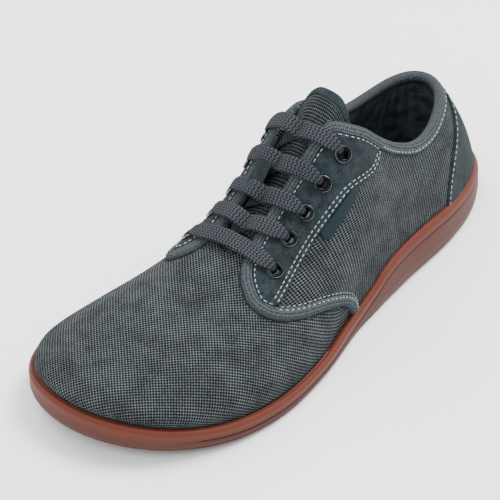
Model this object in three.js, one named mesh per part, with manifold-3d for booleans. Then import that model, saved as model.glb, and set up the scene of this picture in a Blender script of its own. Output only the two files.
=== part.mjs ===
// Left barefoot shoe, low cut, laced, as an assembly of the pieces a maker puts together.
// Millimetres. +X runs from heel to toe, +Y to the little-toe side, +Z up from the floor.
import * as THREE from "three";
import { mergeVertices } from "three/addons/utils/BufferGeometryUtils.js";
import Module from "manifold-3d";

const wasm = await Module();
wasm.setup();

// Sizes of the last, the foot form that the upper is drawn over
const LAST_LENGTH = 279; // heel to toe along the feather line, where upper and sole meet
const BALL_WIDTH = 101; // width that the shares across the foot are taken of
const CROWN_HEIGHT = 102; // floor to the highest line of the form
const RIM_HEIGHT = 14.8; // floor to the feather line at the heel
const SIDE_SWELL = 2.5; // how far the side walls swell past the feather line
const TOE_SPRING = 8.2; // how far the sole's underside lifts at the tip of the toe

// Thicknesses and clearances
const UPPER_WALL = 2.0;
const QUARTER_STEP = 1.2; // the quarters lie over the vamp by this much
const OVERLAY = 1.0; // suede of the eyestays and the heel counter
const LABEL_THICKNESS = 0.7;
const BINDING_WIDTH = 5.2; // knitted binding along every free edge of the quarters
const BINDING_THICKNESS = 0.8;
const TONGUE_THICKNESS = 3.4;
const TONGUE_DROP = 3.7; // air under the facings, where the lace runs
const TONGUE_LIFT = 8.5; // how far the tongue's free end stands up
const GAP = 0.3; // clearance between pieces that lie on each other

// Sizes of the sole and the insole
const OUTSOLE_FLOOR = 4.5;
const RIM_OUT = 3.8; // how far the rim stands out past the feather line
const LINE_DEPTH = 0.6; // depth of the line moulded round the side
const TREAD_DEPTH = 1.4;
const TREAD_WIDTH = 2.6;
const TREAD_PITCH = 14;
const INSOLE_THICKNESS = 3.0;
const INSOLE_EDGE = 2.0; // how much higher the insole's moulded edge stands

// Sizes of the lacing
const EYELET_BORE = 2.1;
const EYELET_BARREL = 2.6;
const EYELET_FLANGE = 4.1;
const EYELET_RAISE = 0.9;
const LACE_WIDTH = 8;
const LACE_THICKNESS = 1.4;
const KEEPER_LENGTH = 12;
const KEEPER_WIDTH = 10;
const KEEPER_THICKNESS = 1.2;
const KEEPER_ALONG = 0.4895; // its middle, as a share of LAST_LENGTH

// How finely the curved faces are cut
const AROUND = 56;
const UPWARD = 8;
const TOP_SHARE = 0.93; // the last ring up the side, as a share of the quarter turn over the crown

// The feather line seen from above, from the back of the heel along the little-toe side to
// the toe and back along the big-toe side. along is a share of LAST_LENGTH, across of BALL_WIDTH.
const OUTLINE = [
  { along: 0.0, across: 0.0 },
  { along: 0.022, across: 0.155 },
  { along: 0.075, across: 0.257 },
  { along: 0.18, across: 0.334 },
  { along: 0.33, across: 0.364 },
  { along: 0.48, across: 0.417 },
  { along: 0.62, across: 0.511 },
  { along: 0.74, across: 0.534 },
  { along: 0.85, across: 0.468 },
  { along: 0.94, across: 0.297 },
  { along: 0.99, across: 0.069 },
  { along: 0.998, across: -0.162 },
  { along: 0.97, across: -0.364 },
  { along: 0.9, across: -0.494 },
  { along: 0.78, across: -0.49 },
  { along: 0.65, across: -0.437 },
  { along: 0.5, across: -0.338 },
  { along: 0.35, across: -0.29 },
  { along: 0.18, across: -0.292 },
  { along: 0.075, across: -0.245 },
  { along: 0.022, across: -0.142 },
];

// Sections of the last. crown is a share of CROWN_HEIGHT and feather of RIM_HEIGHT; full is
// the section's exponent, lean how much it narrows towards the crown, swell a share of
// SIDE_SWELL and centre the crown line's place as a share of BALL_WIDTH.
const SECTIONS = [
  { along: 0.0, crown: 0.98, full: 4.0, lean: 0.88, swell: 1.0, feather: 0.98, centre: 0.0 },
  { along: 0.15, crown: 0.98, full: 4.0, lean: 0.65, swell: 1.0, feather: 1.0, centre: 0.005 },
  { along: 0.3, crown: 1.0, full: 3.4, lean: 0.45, swell: 0.8, feather: 0.86, centre: 0.01 },
  { along: 0.42, crown: 0.95, full: 2.6, lean: 0.1, swell: 0.4, feather: 0.75, centre: 0.01 },
  { along: 0.55, crown: 0.62, full: 2.2, lean: 0.05, swell: 0.4, feather: 0.64, centre: 0.01 },
  { along: 0.68, crown: 0.446, full: 2.1, lean: 0.0, swell: 0.6, feather: 0.64, centre: 0.005 },
  { along: 0.8, crown: 0.39, full: 2.3, lean: 0.0, swell: 0.6, feather: 0.78, centre: -0.01 },
  { along: 0.92, crown: 0.341, full: 2.5, lean: 0.0, swell: 0.6, feather: 1.1, centre: -0.05 },
  { along: 1.0, crown: 0.358, full: 2.6, lean: 0.0, swell: 0.6, feather: 1.5, centre: -0.1 },
];
const CROWN_START = 0.15; // the crown line runs between these shares of the length
const CROWN_END = 0.86;
const CROWN_EASE = 0.035;

// The collar's top line seen from the side, up is a share of CROWN_HEIGHT.
const COLLAR = [
  { along: -0.06, up: 0.735 },
  { along: 0.06, up: 0.722 },
  { along: 0.125, up: 0.672 },
  { along: 0.185, up: 0.63 },
  { along: 0.235, up: 0.634 },
  { along: 0.285, up: 0.7 },
  { along: 0.33, up: 0.8 },
  { along: 0.368, up: 0.903 },
  { along: 0.4, up: 0.953 },
  { along: 0.417, up: 0.985 },
  { along: 0.424, up: 1.06 },
  { along: 0.427, up: 1.3 },
];

// Half the opening between the two facings, seen from above on the little-toe side and
// measured from the throat's middle line. It flares to the collar behind, and in front it
// becomes the quarters' front edge.
const FACING_EDGE = [
  { along: 0.3, half: 0.125 },
  { along: 0.36, half: 0.125 },
  { along: 0.4, half: 0.125 },
  { along: 0.435, half: 0.122 },
  { along: 0.47, half: 0.114 },
  { along: 0.51, half: 0.098 },
  { along: 0.55, half: 0.092 },
  { along: 0.6, half: 0.106 },
  { along: 0.635, half: 0.132 },
  { along: 0.658, half: 0.175 },
  { along: 0.675, half: 0.235 },
  { along: 0.687, half: 0.295 },
  { along: 0.692, half: 0.37 },
  { along: 0.693, half: 0.48 },
  { along: 0.693, half: 0.75 },
];
const THROAT_MIDDLE = -0.043; // its middle line lies to the big-toe side, share of BALL_WIDTH
const THROAT_END = 0.6; // the opening through the upper ends here, the vamp closes it

// The lower front edge of the quarters seen from the side, down to the sole.
const QUARTER_EDGE = [
  { along: 0.485, up: -0.1 },
  { along: 0.493, up: 0.12 },
  { along: 0.51, up: 0.2 },
  { along: 0.535, up: 0.252 },
  { along: 0.577, up: 0.3 },
  { along: 0.622, up: 0.326 },
  { along: 0.658, up: 0.35 },
  { along: 0.685, up: 0.385 },
  { along: 0.72, up: 0.45 },
];

// The eyestay's outer edge seen from above, from the collar to its front end.
const EYESTAY_EDGE = [
  { along: 0.32, half: 0.22 },
  { along: 0.345, half: 0.285 },
  { along: 0.375, half: 0.325 },
  { along: 0.41, half: 0.338 },
  { along: 0.445, half: 0.334 },
  { along: 0.49, half: 0.33 },
  { along: 0.53, half: 0.326 },
  { along: 0.57, half: 0.338 },
  { along: 0.61, half: 0.36 },
  { along: 0.655, half: 0.385 },
  { along: 0.71, half: 0.41 },
];

// The heel counter's front edge seen from the side, from the sole up to the collar.
const COUNTER_EDGE = [
  { along: 0.183, up: 0.0 },
  { along: 0.182, up: 0.193 },
  { along: 0.168, up: 0.325 },
  { along: 0.142, up: 0.42 },
  { along: 0.112, up: 0.5 },
  { along: 0.09, up: 0.58 },
  { along: 0.082, up: 0.68 },
  { along: 0.08, up: 0.85 },
];

// The label on the little-toe side, seen from the side.
const LABEL_CORNERS = [
  { along: 0.524, up: 0.568 },
  { along: 0.512, up: 0.536 },
  { along: 0.425, up: 0.688 },
  { along: 0.438, up: 0.722 },
];

// Eyelets from the top pair down, seen from above.
const EYELETS = [
  { along: 0.43, half: 0.254 },
  { along: 0.476, half: 0.25 },
  { along: 0.518, half: 0.244 },
  { along: 0.561, half: 0.243 },
  { along: 0.613, half: 0.277 },
];

// Half the tongue's width seen from above, from its free end to its root under the vamp.
const TONGUE_EDGE = [
  { along: 0.374, half: 0.1 },
  { along: 0.38, half: 0.17 },
  { along: 0.4, half: 0.22 },
  { along: 0.46, half: 0.24 },
  { along: 0.56, half: 0.235 },
  { along: 0.66, half: 0.2 },
  { along: 0.685, half: 0.1 },
];
// The tongue's lower edges seen from the side.
const TONGUE_LOWER = [
  { along: 0.36, up: 0.78 },
  { along: 0.54, up: 0.44 },
  { along: 0.7, up: 0.22 },
];
const TONGUE_BAND = 9.5; // length of the suede band at the free end
const TONGUE_BAND_STEP = 0.5; // the band stands this much proud on both faces
const TONGUE_BEND = 0.423; // the free end starts to stand up here, as a share of LAST_LENGTH
const TONGUE_BEND_LENGTH = 14;

// The sole's side from the floor to the rim. up is of the local height, out and square are shares
// of RIM_OUT: out where the side is round, square where it stands upright at the heel and waist.
const SOLE_SIDE = [
  { up: 0.0, out: -0.35, square: 0.3, line: 0 },
  { up: 0.05, out: 0.4, square: 0.95, line: 0 },
  { up: 0.2, out: 0.86, square: 1.25, line: 0 },
  { up: 0.5, out: 1.0, square: 1.2, line: 0 },
  { up: 0.56, out: 0.98, square: 1.14, line: 1 },
  { up: 0.63, out: 0.98, square: 1.12, line: 1 },
  { up: 0.69, out: 0.98, square: 1.1, line: 0 },
  { up: 0.93, out: 0.92, square: 1.02, line: 0 },
  { up: 1.0, out: 0.72, square: 0.86, line: 0 },
];
// How far the rim climbs the upper's side past the feather line, as a share of RIM_HEIGHT, and
// how upright the side stands.
const RIM_CLIMB = [
  { along: 0.0, rise: 0.27, square: 0.0 },
  { along: 0.03, rise: 0.28, square: 0.3 },
  { along: 0.1, rise: 0.3, square: 0.9 },
  { along: 0.2, rise: 0.33, square: 1.0 },
  { along: 0.27, rise: 0.44, square: 1.0 },
  { along: 0.32, rise: 0.49, square: 1.0 },
  { along: 0.37, rise: 0.42, square: 1.0 },
  { along: 0.41, rise: 0.2, square: 0.8 },
  { along: 0.45, rise: 0.04, square: 0.6 },
  { along: 0.48, rise: 0.0, square: 0.45 },
  { along: 0.62, rise: 0.0, square: 0.0 },
  { along: 1.0, rise: 0.0, square: 0.0 },
];
const SPRING_START = 0.7; // the underside is flat behind this share of the length
const TREAD_START = 0.06;
const TREAD_END = 0.97;
const LINE_END = 0.93; // the moulded line fades out before the toe

const REACH = 400; // longer than the whole shoe, for cutting prisms
const SIMPLIFY = 0.15; // faces flatter than this are joined
const SKIRT = 12; // how far a cutting form reaches below the piece that it cuts

// Value of one column of a table at a place along it, on a smooth curve through the rows.
function columnAt(rows, name, along) {
  const last = rows.length - 1;
  const x = Math.min(Math.max(along, rows[0].along), rows[last].along);
  let i = 0;
  while (i < last - 1 && x > rows[i + 1].along) i += 1;
  const slope = (k) => (rows[k + 1][name] - rows[k][name]) / (rows[k + 1].along - rows[k].along);
  const tangent = (k) => {
    if (k === 0) return slope(0);
    if (k === last) return slope(last - 1);
    const before = rows[k].along - rows[k - 1].along;
    const after = rows[k + 1].along - rows[k].along;
    return (slope(k - 1) * after + slope(k) * before) / (before + after);
  };
  const h = rows[i + 1].along - rows[i].along;
  const u = (x - rows[i].along) / h;
  return (
    rows[i][name] * (1 + 2 * u) * (1 - u) ** 2 +
    tangent(i) * h * u * (1 - u) ** 2 +
    rows[i + 1][name] * u * u * (3 - 2 * u) +
    tangent(i + 1) * h * u * u * (u - 1)
  );
}

const outlineCurve = new THREE.CatmullRomCurve3(
  OUTLINE.map((row) => new THREE.Vector3(row.along * LAST_LENGTH, row.across * BALL_WIDTH, 0)),
  true,
  "centripetal",
);

// The crown line's place along the foot: it follows x, but eases to a stop at both ends.
function crownAlong(along) {
  const ease = (x) => CROWN_EASE * Math.log1p(Math.exp(x / CROWN_EASE));
  return CROWN_START + ease(along - CROWN_START) - ease(along - CROWN_END);
}

const centreAt = (along) => columnAt(SECTIONS, "centre", along) * BALL_WIDTH;
const throatMiddle = THROAT_MIDDLE * BALL_WIDTH;
const featherAt = (along) => columnAt(SECTIONS, "feather", along) * RIM_HEIGHT;
const rimRiseAt = (along) => Math.max(0, columnAt(RIM_CLIMB, "rise", along)) * RIM_HEIGHT;

// Height of the sole's underside: flat, then rising to the toe.
function undersideAt(along) {
  const rise = Math.max(0, (along - SPRING_START) / (1 - SPRING_START));
  return TOE_SPRING * rise * rise;
}

// A point of the last: turn 0 to 1 runs round the outline, climb 0 to 1 from feather to crown.
function lastPoint(turn, climb) {
  const foot = outlineCurve.getPoint(((turn % 1) + 1) % 1);
  const along = foot.x / LAST_LENGTH;
  const crown = crownAlong(along);
  const spine = new THREE.Vector3(crown * LAST_LENGTH, centreAt(crown), 0);
  const arm = foot.clone().sub(spine);
  const full = columnAt(SECTIONS, "full", along);
  const angle = (climb * Math.PI) / 2;
  const radius = (Math.cos(angle) ** full + Math.sin(angle) ** full) ** (-1 / full);
  const inward = radius * Math.cos(angle);
  const upward = radius * Math.sin(angle);
  const lean = columnAt(SECTIONS, "lean", along);
  const swell = columnAt(SECTIONS, "swell", along) * SIDE_SWELL;
  const swelling = swell * Math.sin(Math.PI * Math.min(upward * 1.6, 1));
  const place = spine.addScaledVector(arm, inward * (1 - lean * upward) + swelling / arm.length());
  const feather = featherAt(along);
  const crownHeight = columnAt(SECTIONS, "crown", place.x / LAST_LENGTH) * CROWN_HEIGHT;
  place.z = feather + (crownHeight - feather) * upward;
  return place;
}

// Turns a closed geometry into a solid for joins and cuts.
function solidOf(geometry) {
  const bare = geometry.index ? geometry.toNonIndexed() : geometry.clone();
  bare.deleteAttribute("normal");
  bare.deleteAttribute("uv");
  const merged = mergeVertices(bare, 1e-4);
  return new wasm.Manifold(
    new wasm.Mesh({
      numProp: 3,
      vertProperties: new Float32Array(merged.attributes.position.array),
      triVerts: new Uint32Array(merged.index.array),
    }),
  );
}

// Triangles across a ring whose first point is at the heel: the two sides are stitched to
// each other on the way to the toe.
function lid(ring) {
  const faces = [];
  let [a, b] = [0, ring.length - 1];
  while (b - a > 1) {
    if (ring[a + 1].x < ring[b - 1].x || b - a === 2) {
      faces.push([a, a + 1, b]);
      a += 1;
    } else {
      faces.push([a, b - 1, b]);
      b -= 1;
    }
  }
  return faces;
}

// Closes a stack of rings, each a list of as many points, into a geometry.
function closedStack(rings) {
  const count = rings[0].length;
  const points = rings.flat();
  const faces = [];
  for (let j = 0; j + 1 < rings.length; j += 1) {
    for (let i = 0; i < count; i += 1) {
      const next = (i + 1) % count;
      const [a, b] = [j * count + i, j * count + next];
      const [c, d] = [(j + 1) * count + next, (j + 1) * count + i];
      faces.push([a, b, c], [a, c, d]);
    }
  }
  for (const [ring, flip] of [[0, true], [rings.length - 1, false]]) {
    for (const face of lid(rings[ring])) {
      const corner = face.map((k) => ring * count + k);
      faces.push(flip ? corner.reverse() : corner);
    }
  }
  const geometry = new THREE.BufferGeometry().setFromPoints(points);
  geometry.setIndex(faces.flat());
  return geometry;
}

// The last's skin moved out by an offset, as a grid of rings from the feather line up.
function skinRings(offset) {
  const turns = Array.from({ length: AROUND }, (_, i) => 1 - i / AROUND);
  const climbs = Array.from({ length: UPWARD + 1 }, (_, j) => (TOP_SHARE * j) / UPWARD);
  const step = 1e-3;
  return climbs.map((climb) =>
    turns.map((turn) => {
      const here = lastPoint(turn, climb);
      const sideways = lastPoint(turn - step, climb).sub(lastPoint(turn + step, climb));
      const up = lastPoint(turn, climb + step).sub(lastPoint(turn, Math.max(0, climb - step)));
      const outward = sideways.cross(up);
      if (climb === 0) outward.z = 0;
      return here.addScaledVector(outward.normalize(), offset);
    }),
  );
}

// A closed form of the last, moved out by offset. hem gives its lowest edge's height from
// the place along the foot, and warp can move each point.
function lastForm(offset, hem, warp) {
  const rings = skinRings(offset);
  const lowest = rings[0].map((p) => new THREE.Vector3(p.x, p.y, hem(p.x / LAST_LENGTH)));
  const stack = [lowest, ...rings];
  if (warp) stack.forEach((ring) => ring.forEach(warp));
  return solidOf(closedStack(stack));
}

// A closed form like lastForm that starts above the rim, for what ends there.
function overlayForm(offset, lift) {
  const rings = skinRings(offset);
  rings[0].forEach((p) => {
    p.z = featherAt(p.x / LAST_LENGTH) + rimRiseAt(p.x / LAST_LENGTH) + lift;
  });
  return solidOf(closedStack(rings));
}

const cupFloor = (along) => undersideAt(along) + OUTSOLE_FLOOR;
const upperHem = (along) => cupFloor(along) + GAP;
const cutterHem = (along) => cupFloor(along) - SKIRT;

// Points of a smooth curve through a table's rows, in the plane that x and y span.
function smoothLine(rows, x, y, count) {
  const points = rows.map((row) => new THREE.Vector2(x(row), y(row)));
  return new THREE.SplineCurve(points).getPoints(count);
}
const alongX = (row) => row.along * LAST_LENGTH;
const upZ = (row) => row.up * CROWN_HEIGHT;

// The same line moved to its left by a distance.
function shifted(line, distance) {
  return line.map((p, i) => {
    const before = line[Math.max(i - 1, 0)];
    const after = line[Math.min(i + 1, line.length - 1)];
    const along = after.clone().sub(before).normalize();
    return new THREE.Vector2(p.x - along.y * distance, p.y + along.x * distance);
  });
}

// A prism over an outline seen from the side, or from above.
function sidePrism(outline) {
  const geometry = new THREE.ExtrudeGeometry(new THREE.Shape(outline), {
    depth: REACH,
    bevelEnabled: false,
  });
  geometry.rotateX(Math.PI / 2);
  geometry.translate(0, REACH / 2, 0);
  return solidOf(geometry);
}
function planPrism(outline) {
  const geometry = new THREE.ExtrudeGeometry(new THREE.Shape(outline), {
    depth: REACH,
    bevelEnabled: false,
  });
  geometry.translate(0, 0, -REACH / 2);
  return solidOf(geometry);
}

const at = (x, y) => new THREE.Vector2(x, y);

// Everything on one side of the shoe's middle line: 1 for the little-toe side, -1 for the other.
function halfSpace(side) {
  const far = side * REACH;
  const half = [at(-REACH, throatMiddle), at(REACH, throatMiddle), at(REACH, far), at(-REACH, far)];
  return planPrism(half);
}

// Above the collar's line, lowered by a distance.
function aboveCollar(lower) {
  const line = shifted(smoothLine(COLLAR, alongX, upZ, 24), -lower);
  return sidePrism([...line, at(line[line.length - 1].x, REACH), at(-REACH, REACH), at(-REACH, line[0].y)]);
}

// The last's cross-section at a place along it, from the big-toe side over to the other.
const sectionsMade = new Map();
function sectionAt(x) {
  const key = Math.round(x * 2) / 2;
  if (!sectionsMade.has(key)) {
    const half = (side) =>
      Array.from({ length: 40 }, (_, k) => {
        const climb = (k + 0.5) / 40;
        let [low, high] = [0, 0.5];
        for (let i = 0; i < 20; i += 1) {
          const middle = (low + high) / 2;
          if (lastPoint(side > 0 ? middle : 1 - middle, climb).x < key) low = middle;
          else high = middle;
        }
        const found = lastPoint(side > 0 ? low : 1 - low, climb);
        return at(found.y, found.z);
      });
    sectionsMade.set(key, [...half(-1), ...half(1).reverse()]);
  }
  return sectionsMade.get(key);
}

// The place across the shoe at a distance from the throat's middle line. The distance is
// seen from above on the little-toe side; on the other side it is as long over the last.
function acrossAt(x, half, side) {
  if (side > 0) return throatMiddle + half;
  const section = sectionAt(x);
  const start = section.findIndex((p) => p.x > throatMiddle);
  let arc = 0;
  let k = start;
  while (k + 1 < section.length && section[k + 1].x < throatMiddle + half) {
    arc += section[k + 1].distanceTo(section[k]);
    k += 1;
  }
  arc += Math.max(0, throatMiddle + half - section[k].x);
  let j = start;
  let run = 0;
  while (j > 1 && run + section[j - 1].distanceTo(section[j]) < arc) {
    run += section[j - 1].distanceTo(section[j]);
    j -= 1;
  }
  if (j <= 1) return section[0].x - (arc - run);
  const part = (arc - run) / section[j - 1].distanceTo(section[j]);
  return section[j].x + (section[j - 1].x - section[j].x) * part;
}

// The facing's edge in plan on one side, moved outwards by a distance.
function facingLine(side, outward) {
  const across = (row) => row.half * BALL_WIDTH;
  const line = shifted(smoothLine(FACING_EDGE, alongX, across, 30), outward);
  return line.map((p) => at(p.x, acrossAt(p.x, p.y, side)));
}

// The opening between the facings, as far as the vamp.
function throatPrism(widen) {
  const end = THROAT_END * LAST_LENGTH;
  const keep = (side) => facingLine(side, widen).filter((p) => p.x < end);
  const round = Array.from({ length: 7 }, (_, i) => {
    const turn = (Math.PI * (i + 0.5)) / 7;
    const half = columnAt(FACING_EDGE, "half", THROAT_END) * BALL_WIDTH + widen;
    return at(end + half * Math.sin(turn), acrossAt(end, half * Math.abs(Math.cos(turn)), Math.cos(turn)));
  });
  return planPrism([...keep(1), ...round, ...keep(-1).reverse()]);
}

// Where the quarters lie: outside the facing line and above their lower front edge, both
// moved inwards by a distance.
function quarterRegion(inset) {
  const side = (sign) => {
    const line = facingLine(sign, inset);
    const [first, last] = [line[0], line[line.length - 1]];
    return planPrism([...line, at(last.x, sign * REACH), at(-REACH, sign * REACH), at(-REACH, first.y)]);
  };
  const lower = shifted(smoothLine(QUARTER_EDGE, alongX, upZ, 16), inset);
  const [first, last] = [lower[0], lower[lower.length - 1]];
  const sideView = [...lower, at(last.x, REACH), at(-REACH, REACH), at(-REACH, -REACH), at(first.x, -REACH)];
  return side(1).add(side(-1)).add(behind(FACING_EDGE[1].along * LAST_LENGTH)).intersect(sidePrism(sideView));
}

// A point on the last's upper face seen from above, and the way out of it.
function onLast(x, y, offset) {
  const side = y >= centreAt(crownAlong(x / LAST_LENGTH)) ? 1 : -1;
  const turnAt = (climb) => {
    let [low, high] = [0, 0.5];
    for (let i = 0; i < 24; i += 1) {
      const middle = (low + high) / 2;
      const turn = side > 0 ? middle : 1 - middle;
      if (lastPoint(turn, climb).x < x) low = middle;
      else high = middle;
    }
    return side > 0 ? low : 1 - low;
  };
  let [low, high] = [0, 1];
  for (let i = 0; i < 24; i += 1) {
    const climb = (low + high) / 2;
    if (side * (lastPoint(turnAt(climb), climb).y - y) > 0) low = climb;
    else high = climb;
  }
  const climb = Math.min(low, TOP_SHARE);
  const turn = turnAt(climb);
  const step = 1e-3;
  const sideways = lastPoint(turn - step, climb).sub(lastPoint(turn + step, climb));
  const up = lastPoint(turn, climb + step).sub(lastPoint(turn, climb - step));
  const outward = sideways.cross(up).normalize();
  const point = new THREE.Vector3(x, y, lastPoint(turnAt(low), low).z).addScaledVector(outward, offset);
  return { point, outward };
}

// Eyelet places on both sides, as a point on the overlay and the way out of it.
function eyeletSeat(row, side) {
  const x = row.along * LAST_LENGTH;
  const y = acrossAt(x, row.half * BALL_WIDTH, side);
  return onLast(x, y, QUARTER_STEP + 2 * GAP + OVERLAY);
}
const seats = {
  1: EYELETS.map((row) => eyeletSeat(row, 1)),
  "-1": EYELETS.map((row) => eyeletSeat(row, -1)),
};

// Turns a geometry made round the Y axis so that Y points along a direction, and moves it.
function placeAlong(geometry, seat) {
  const turn = new THREE.Quaternion().setFromUnitVectors(new THREE.Vector3(0, 1, 0), seat.outward);
  geometry.applyQuaternion(turn);
  geometry.translate(seat.point.x, seat.point.y, seat.point.z);
  return geometry;
}

// Round holes through overlay and wall for the eyelets of one side.
function eyeletHoles(side) {
  const holes = seats[side].map((seat) => {
    const depth = 2 * (UPPER_WALL + QUARTER_STEP + OVERLAY + 2);
    const hole = new THREE.CylinderGeometry(EYELET_BARREL + GAP, EYELET_BARREL + GAP, depth, 12);
    return solidOf(placeAlong(hole, seat));
  });
  return holes.reduce((all, hole) => all.add(hole));
}

// One metal eyelet: a barrel through the wall under a rounded flange.
function eyeletGeometry() {
  const under = -(UPPER_WALL + QUARTER_STEP + OVERLAY + GAP) + GAP;
  const profile = [
    at(EYELET_BORE, under),
    at(EYELET_BARREL, under),
    at(EYELET_BARREL, GAP),
    at(EYELET_FLANGE, GAP),
    at(EYELET_BARREL + 0.6, GAP + EYELET_RAISE),
    at(EYELET_BORE, GAP + 0.5),
    at(EYELET_BORE, under),
  ];
  return new THREE.LatheGeometry(profile, 12);
}

// The upper: vamp and quarters as one hollow wall, open at collar, throat and underneath.
function makeUpper() {
  const vamp = lastForm(0, upperHem);
  const quarters = lastForm(QUARTER_STEP, upperHem).intersect(quarterRegion(0));
  const inside = lastForm(-UPPER_WALL, cutterHem);
  return vamp
    .add(quarters)
    .subtract(inside)
    .subtract(aboveCollar(BINDING_THICKNESS + GAP))
    .subtract(throatPrism(0))
    .subtract(eyeletHoles(1))
    .subtract(eyeletHoles(-1));
}

// The outsole: a moulded cup with a rim round the upper, a moulded line and cross treads.
function makeOutsole() {
  const turns = Array.from({ length: AROUND }, (_, i) => 1 - i / AROUND);
  const step = 1e-3;
  const ring = (row) =>
    turns.map((turn) => {
      const foot = lastPoint(turn, 0);
      const sideways = lastPoint(turn - step, 0).sub(lastPoint(turn + step, 0));
      const outward = new THREE.Vector3(sideways.y, -sideways.x, 0).normalize();
      const along = foot.x / LAST_LENGTH;
      const fade = Math.min(1, Math.max(0, (LINE_END - along) * 20));
      const out = THREE.MathUtils.lerp(row.out, row.square, columnAt(RIM_CLIMB, "square", along));
      foot.addScaledVector(outward, out * RIM_OUT - row.line * fade * LINE_DEPTH);
      const under = undersideAt(along);
      foot.z = under + (featherAt(along) + rimRiseAt(along) + GAP - under) * row.up;
      return foot;
    });
  const body = solidOf(closedStack(SOLE_SIDE.map(ring)));
  const cup = lastForm(GAP, cupFloor);
  const quarterCup = lastForm(QUARTER_STEP + GAP, cupFloor).intersect(quarterRegion(-2 * GAP));
  return body.subtract(cup).subtract(quarterCup).subtract(treadGrooves());
}

// Cross grooves in the underside, each bent towards the toe in the middle.
function treadGrooves() {
  const grooves = [];
  const first = TREAD_START * LAST_LENGTH;
  const last = TREAD_END * LAST_LENGTH;
  for (let x = first; x < last; x += TREAD_PITCH) {
    const bend = TREAD_PITCH / 2;
    const lines = [-1, 0, 1].map((share) => at(x + bend * (1 - share * share), share * BALL_WIDTH));
    const front = lines.map((p) => at(p.x + TREAD_WIDTH, p.y)).reverse();
    const top = undersideAt(x / LAST_LENGTH) + TREAD_DEPTH;
    const geometry = new THREE.ExtrudeGeometry(new THREE.Shape([...lines, ...front]), {
      depth: SKIRT + top,
      bevelEnabled: false,
    });
    geometry.translate(0, 0, -SKIRT);
    grooves.push(solidOf(geometry));
  }
  return grooves.reduce((all, groove) => all.add(groove));
}

// The insole lies on the cup's floor inside the upper, with a raised edge round the foot.
function makeInsole() {
  const clear = -(UPPER_WALL + GAP);
  const rows = [
    { out: clear, rise: GAP },
    { out: clear, rise: GAP + INSOLE_THICKNESS },
    { out: clear - 0.8, rise: GAP + INSOLE_THICKNESS + INSOLE_EDGE * 0.5 },
    { out: clear - 5, rise: GAP + INSOLE_THICKNESS + 0.3 },
    { out: clear - 12, rise: GAP + INSOLE_THICKNESS },
  ];
  const turns = Array.from({ length: AROUND }, (_, i) => 1 - i / AROUND);
  const step = 1e-3;
  const rings = rows.map((row) =>
    turns.map((turn) => {
      const foot = lastPoint(turn, 0);
      const sideways = lastPoint(turn - step, 0).sub(lastPoint(turn + step, 0));
      foot.addScaledVector(new THREE.Vector3(sideways.y, -sideways.x, 0).normalize(), row.out);
      foot.z = cupFloor(foot.x / LAST_LENGTH) + row.rise;
      return foot;
    }),
  );
  return solidOf(closedStack(rings));
}

// Lifts the middle of the tongue towards its free end.
function liftTongue(point) {
  const start = TONGUE_BEND * LAST_LENGTH;
  const run = THREE.MathUtils.smoothstep(start - point.x, 0, TONGUE_BEND_LENGTH);
  const half = TONGUE_EDGE[2].half * BALL_WIDTH;
  const across = Math.min(1, Math.abs(point.y - throatMiddle) / half);
  point.z += TONGUE_LIFT * run * Math.cos((across * Math.PI) / 2) ** 2;
}

// The tongue's outline seen from above.
function tongueOutline() {
  const across = (row) => row.half * BALL_WIDTH;
  const line = smoothLine(TONGUE_EDGE, alongX, across, 24);
  const edge = (side) => line.map((p) => at(p.x, acrossAt(p.x, p.y, side)));
  return planPrism([...edge(1), ...edge(-1).reverse()]);
}

function aboveTongueEdge() {
  const line = TONGUE_LOWER.map((row) => at(alongX(row), upZ(row)));
  return sidePrism([...line, at(line[line.length - 1].x, REACH), at(line[0].x, REACH)]);
}

// Behind a line across the shoe, seen from above.
function behind(x) {
  return planPrism([at(-REACH, -REACH), at(x, -REACH), at(x, REACH), at(-REACH, REACH)]);
}

// A layer of the tongue between two depths under the last's skin.
function tongueLayer(top, thickness) {
  const outer = lastForm(-top, cutterHem, liftTongue);
  const inner = lastForm(-top - thickness, (along) => cutterHem(along) - SKIRT, liftTongue);
  return outer.subtract(inner).intersect(tongueOutline()).intersect(aboveTongueEdge());
}

const tongueDepth = UPPER_WALL + TONGUE_DROP;
const tongueBandFront = TONGUE_EDGE[0].along * LAST_LENGTH + TONGUE_BAND;

function makeTongue() {
  return tongueLayer(tongueDepth, TONGUE_THICKNESS).subtract(behind(tongueBandFront + GAP));
}

function makeTongueBand() {
  const top = tongueDepth - TONGUE_BAND_STEP;
  return tongueLayer(top, TONGUE_THICKNESS + 2 * TONGUE_BAND_STEP).intersect(behind(tongueBandFront));
}

// A sheet of a given thickness laid on the quarters.
function overlaySheet(thickness) {
  const base = QUARTER_STEP + GAP;
  return overlayForm(base + thickness, 2 * GAP).subtract(lastForm(base, cutterHem));
}

function makeCounter() {
  const front = smoothLine(COUNTER_EDGE, alongX, upZ, 14);
  const region = [...front, at(-REACH, front[front.length - 1].y), at(-REACH, 0)];
  return overlaySheet(OVERLAY).intersect(sidePrism(region)).subtract(aboveCollar(BINDING_WIDTH + GAP));
}

function makeEyestay(side) {
  const across = (row) => row.half * BALL_WIDTH;
  const edge = smoothLine(EYESTAY_EDGE, alongX, across, 24).map((p) => at(p.x, acrossAt(p.x, p.y, side)));
  const region = [...edge, at(edge[edge.length - 1].x, throatMiddle), at(edge[0].x, throatMiddle)];
  return overlaySheet(OVERLAY)
    .intersect(planPrism(region))
    .intersect(quarterRegion(BINDING_WIDTH + GAP))
    .subtract(aboveCollar(BINDING_WIDTH + GAP))
    .subtract(eyeletHoles(side));
}

function makeLabel() {
  const corners = LABEL_CORNERS.map((row) => at(alongX(row), upZ(row)));
  return overlaySheet(LABEL_THICKNESS).intersect(sidePrism(corners)).intersect(halfSpace(1));
}

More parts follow.
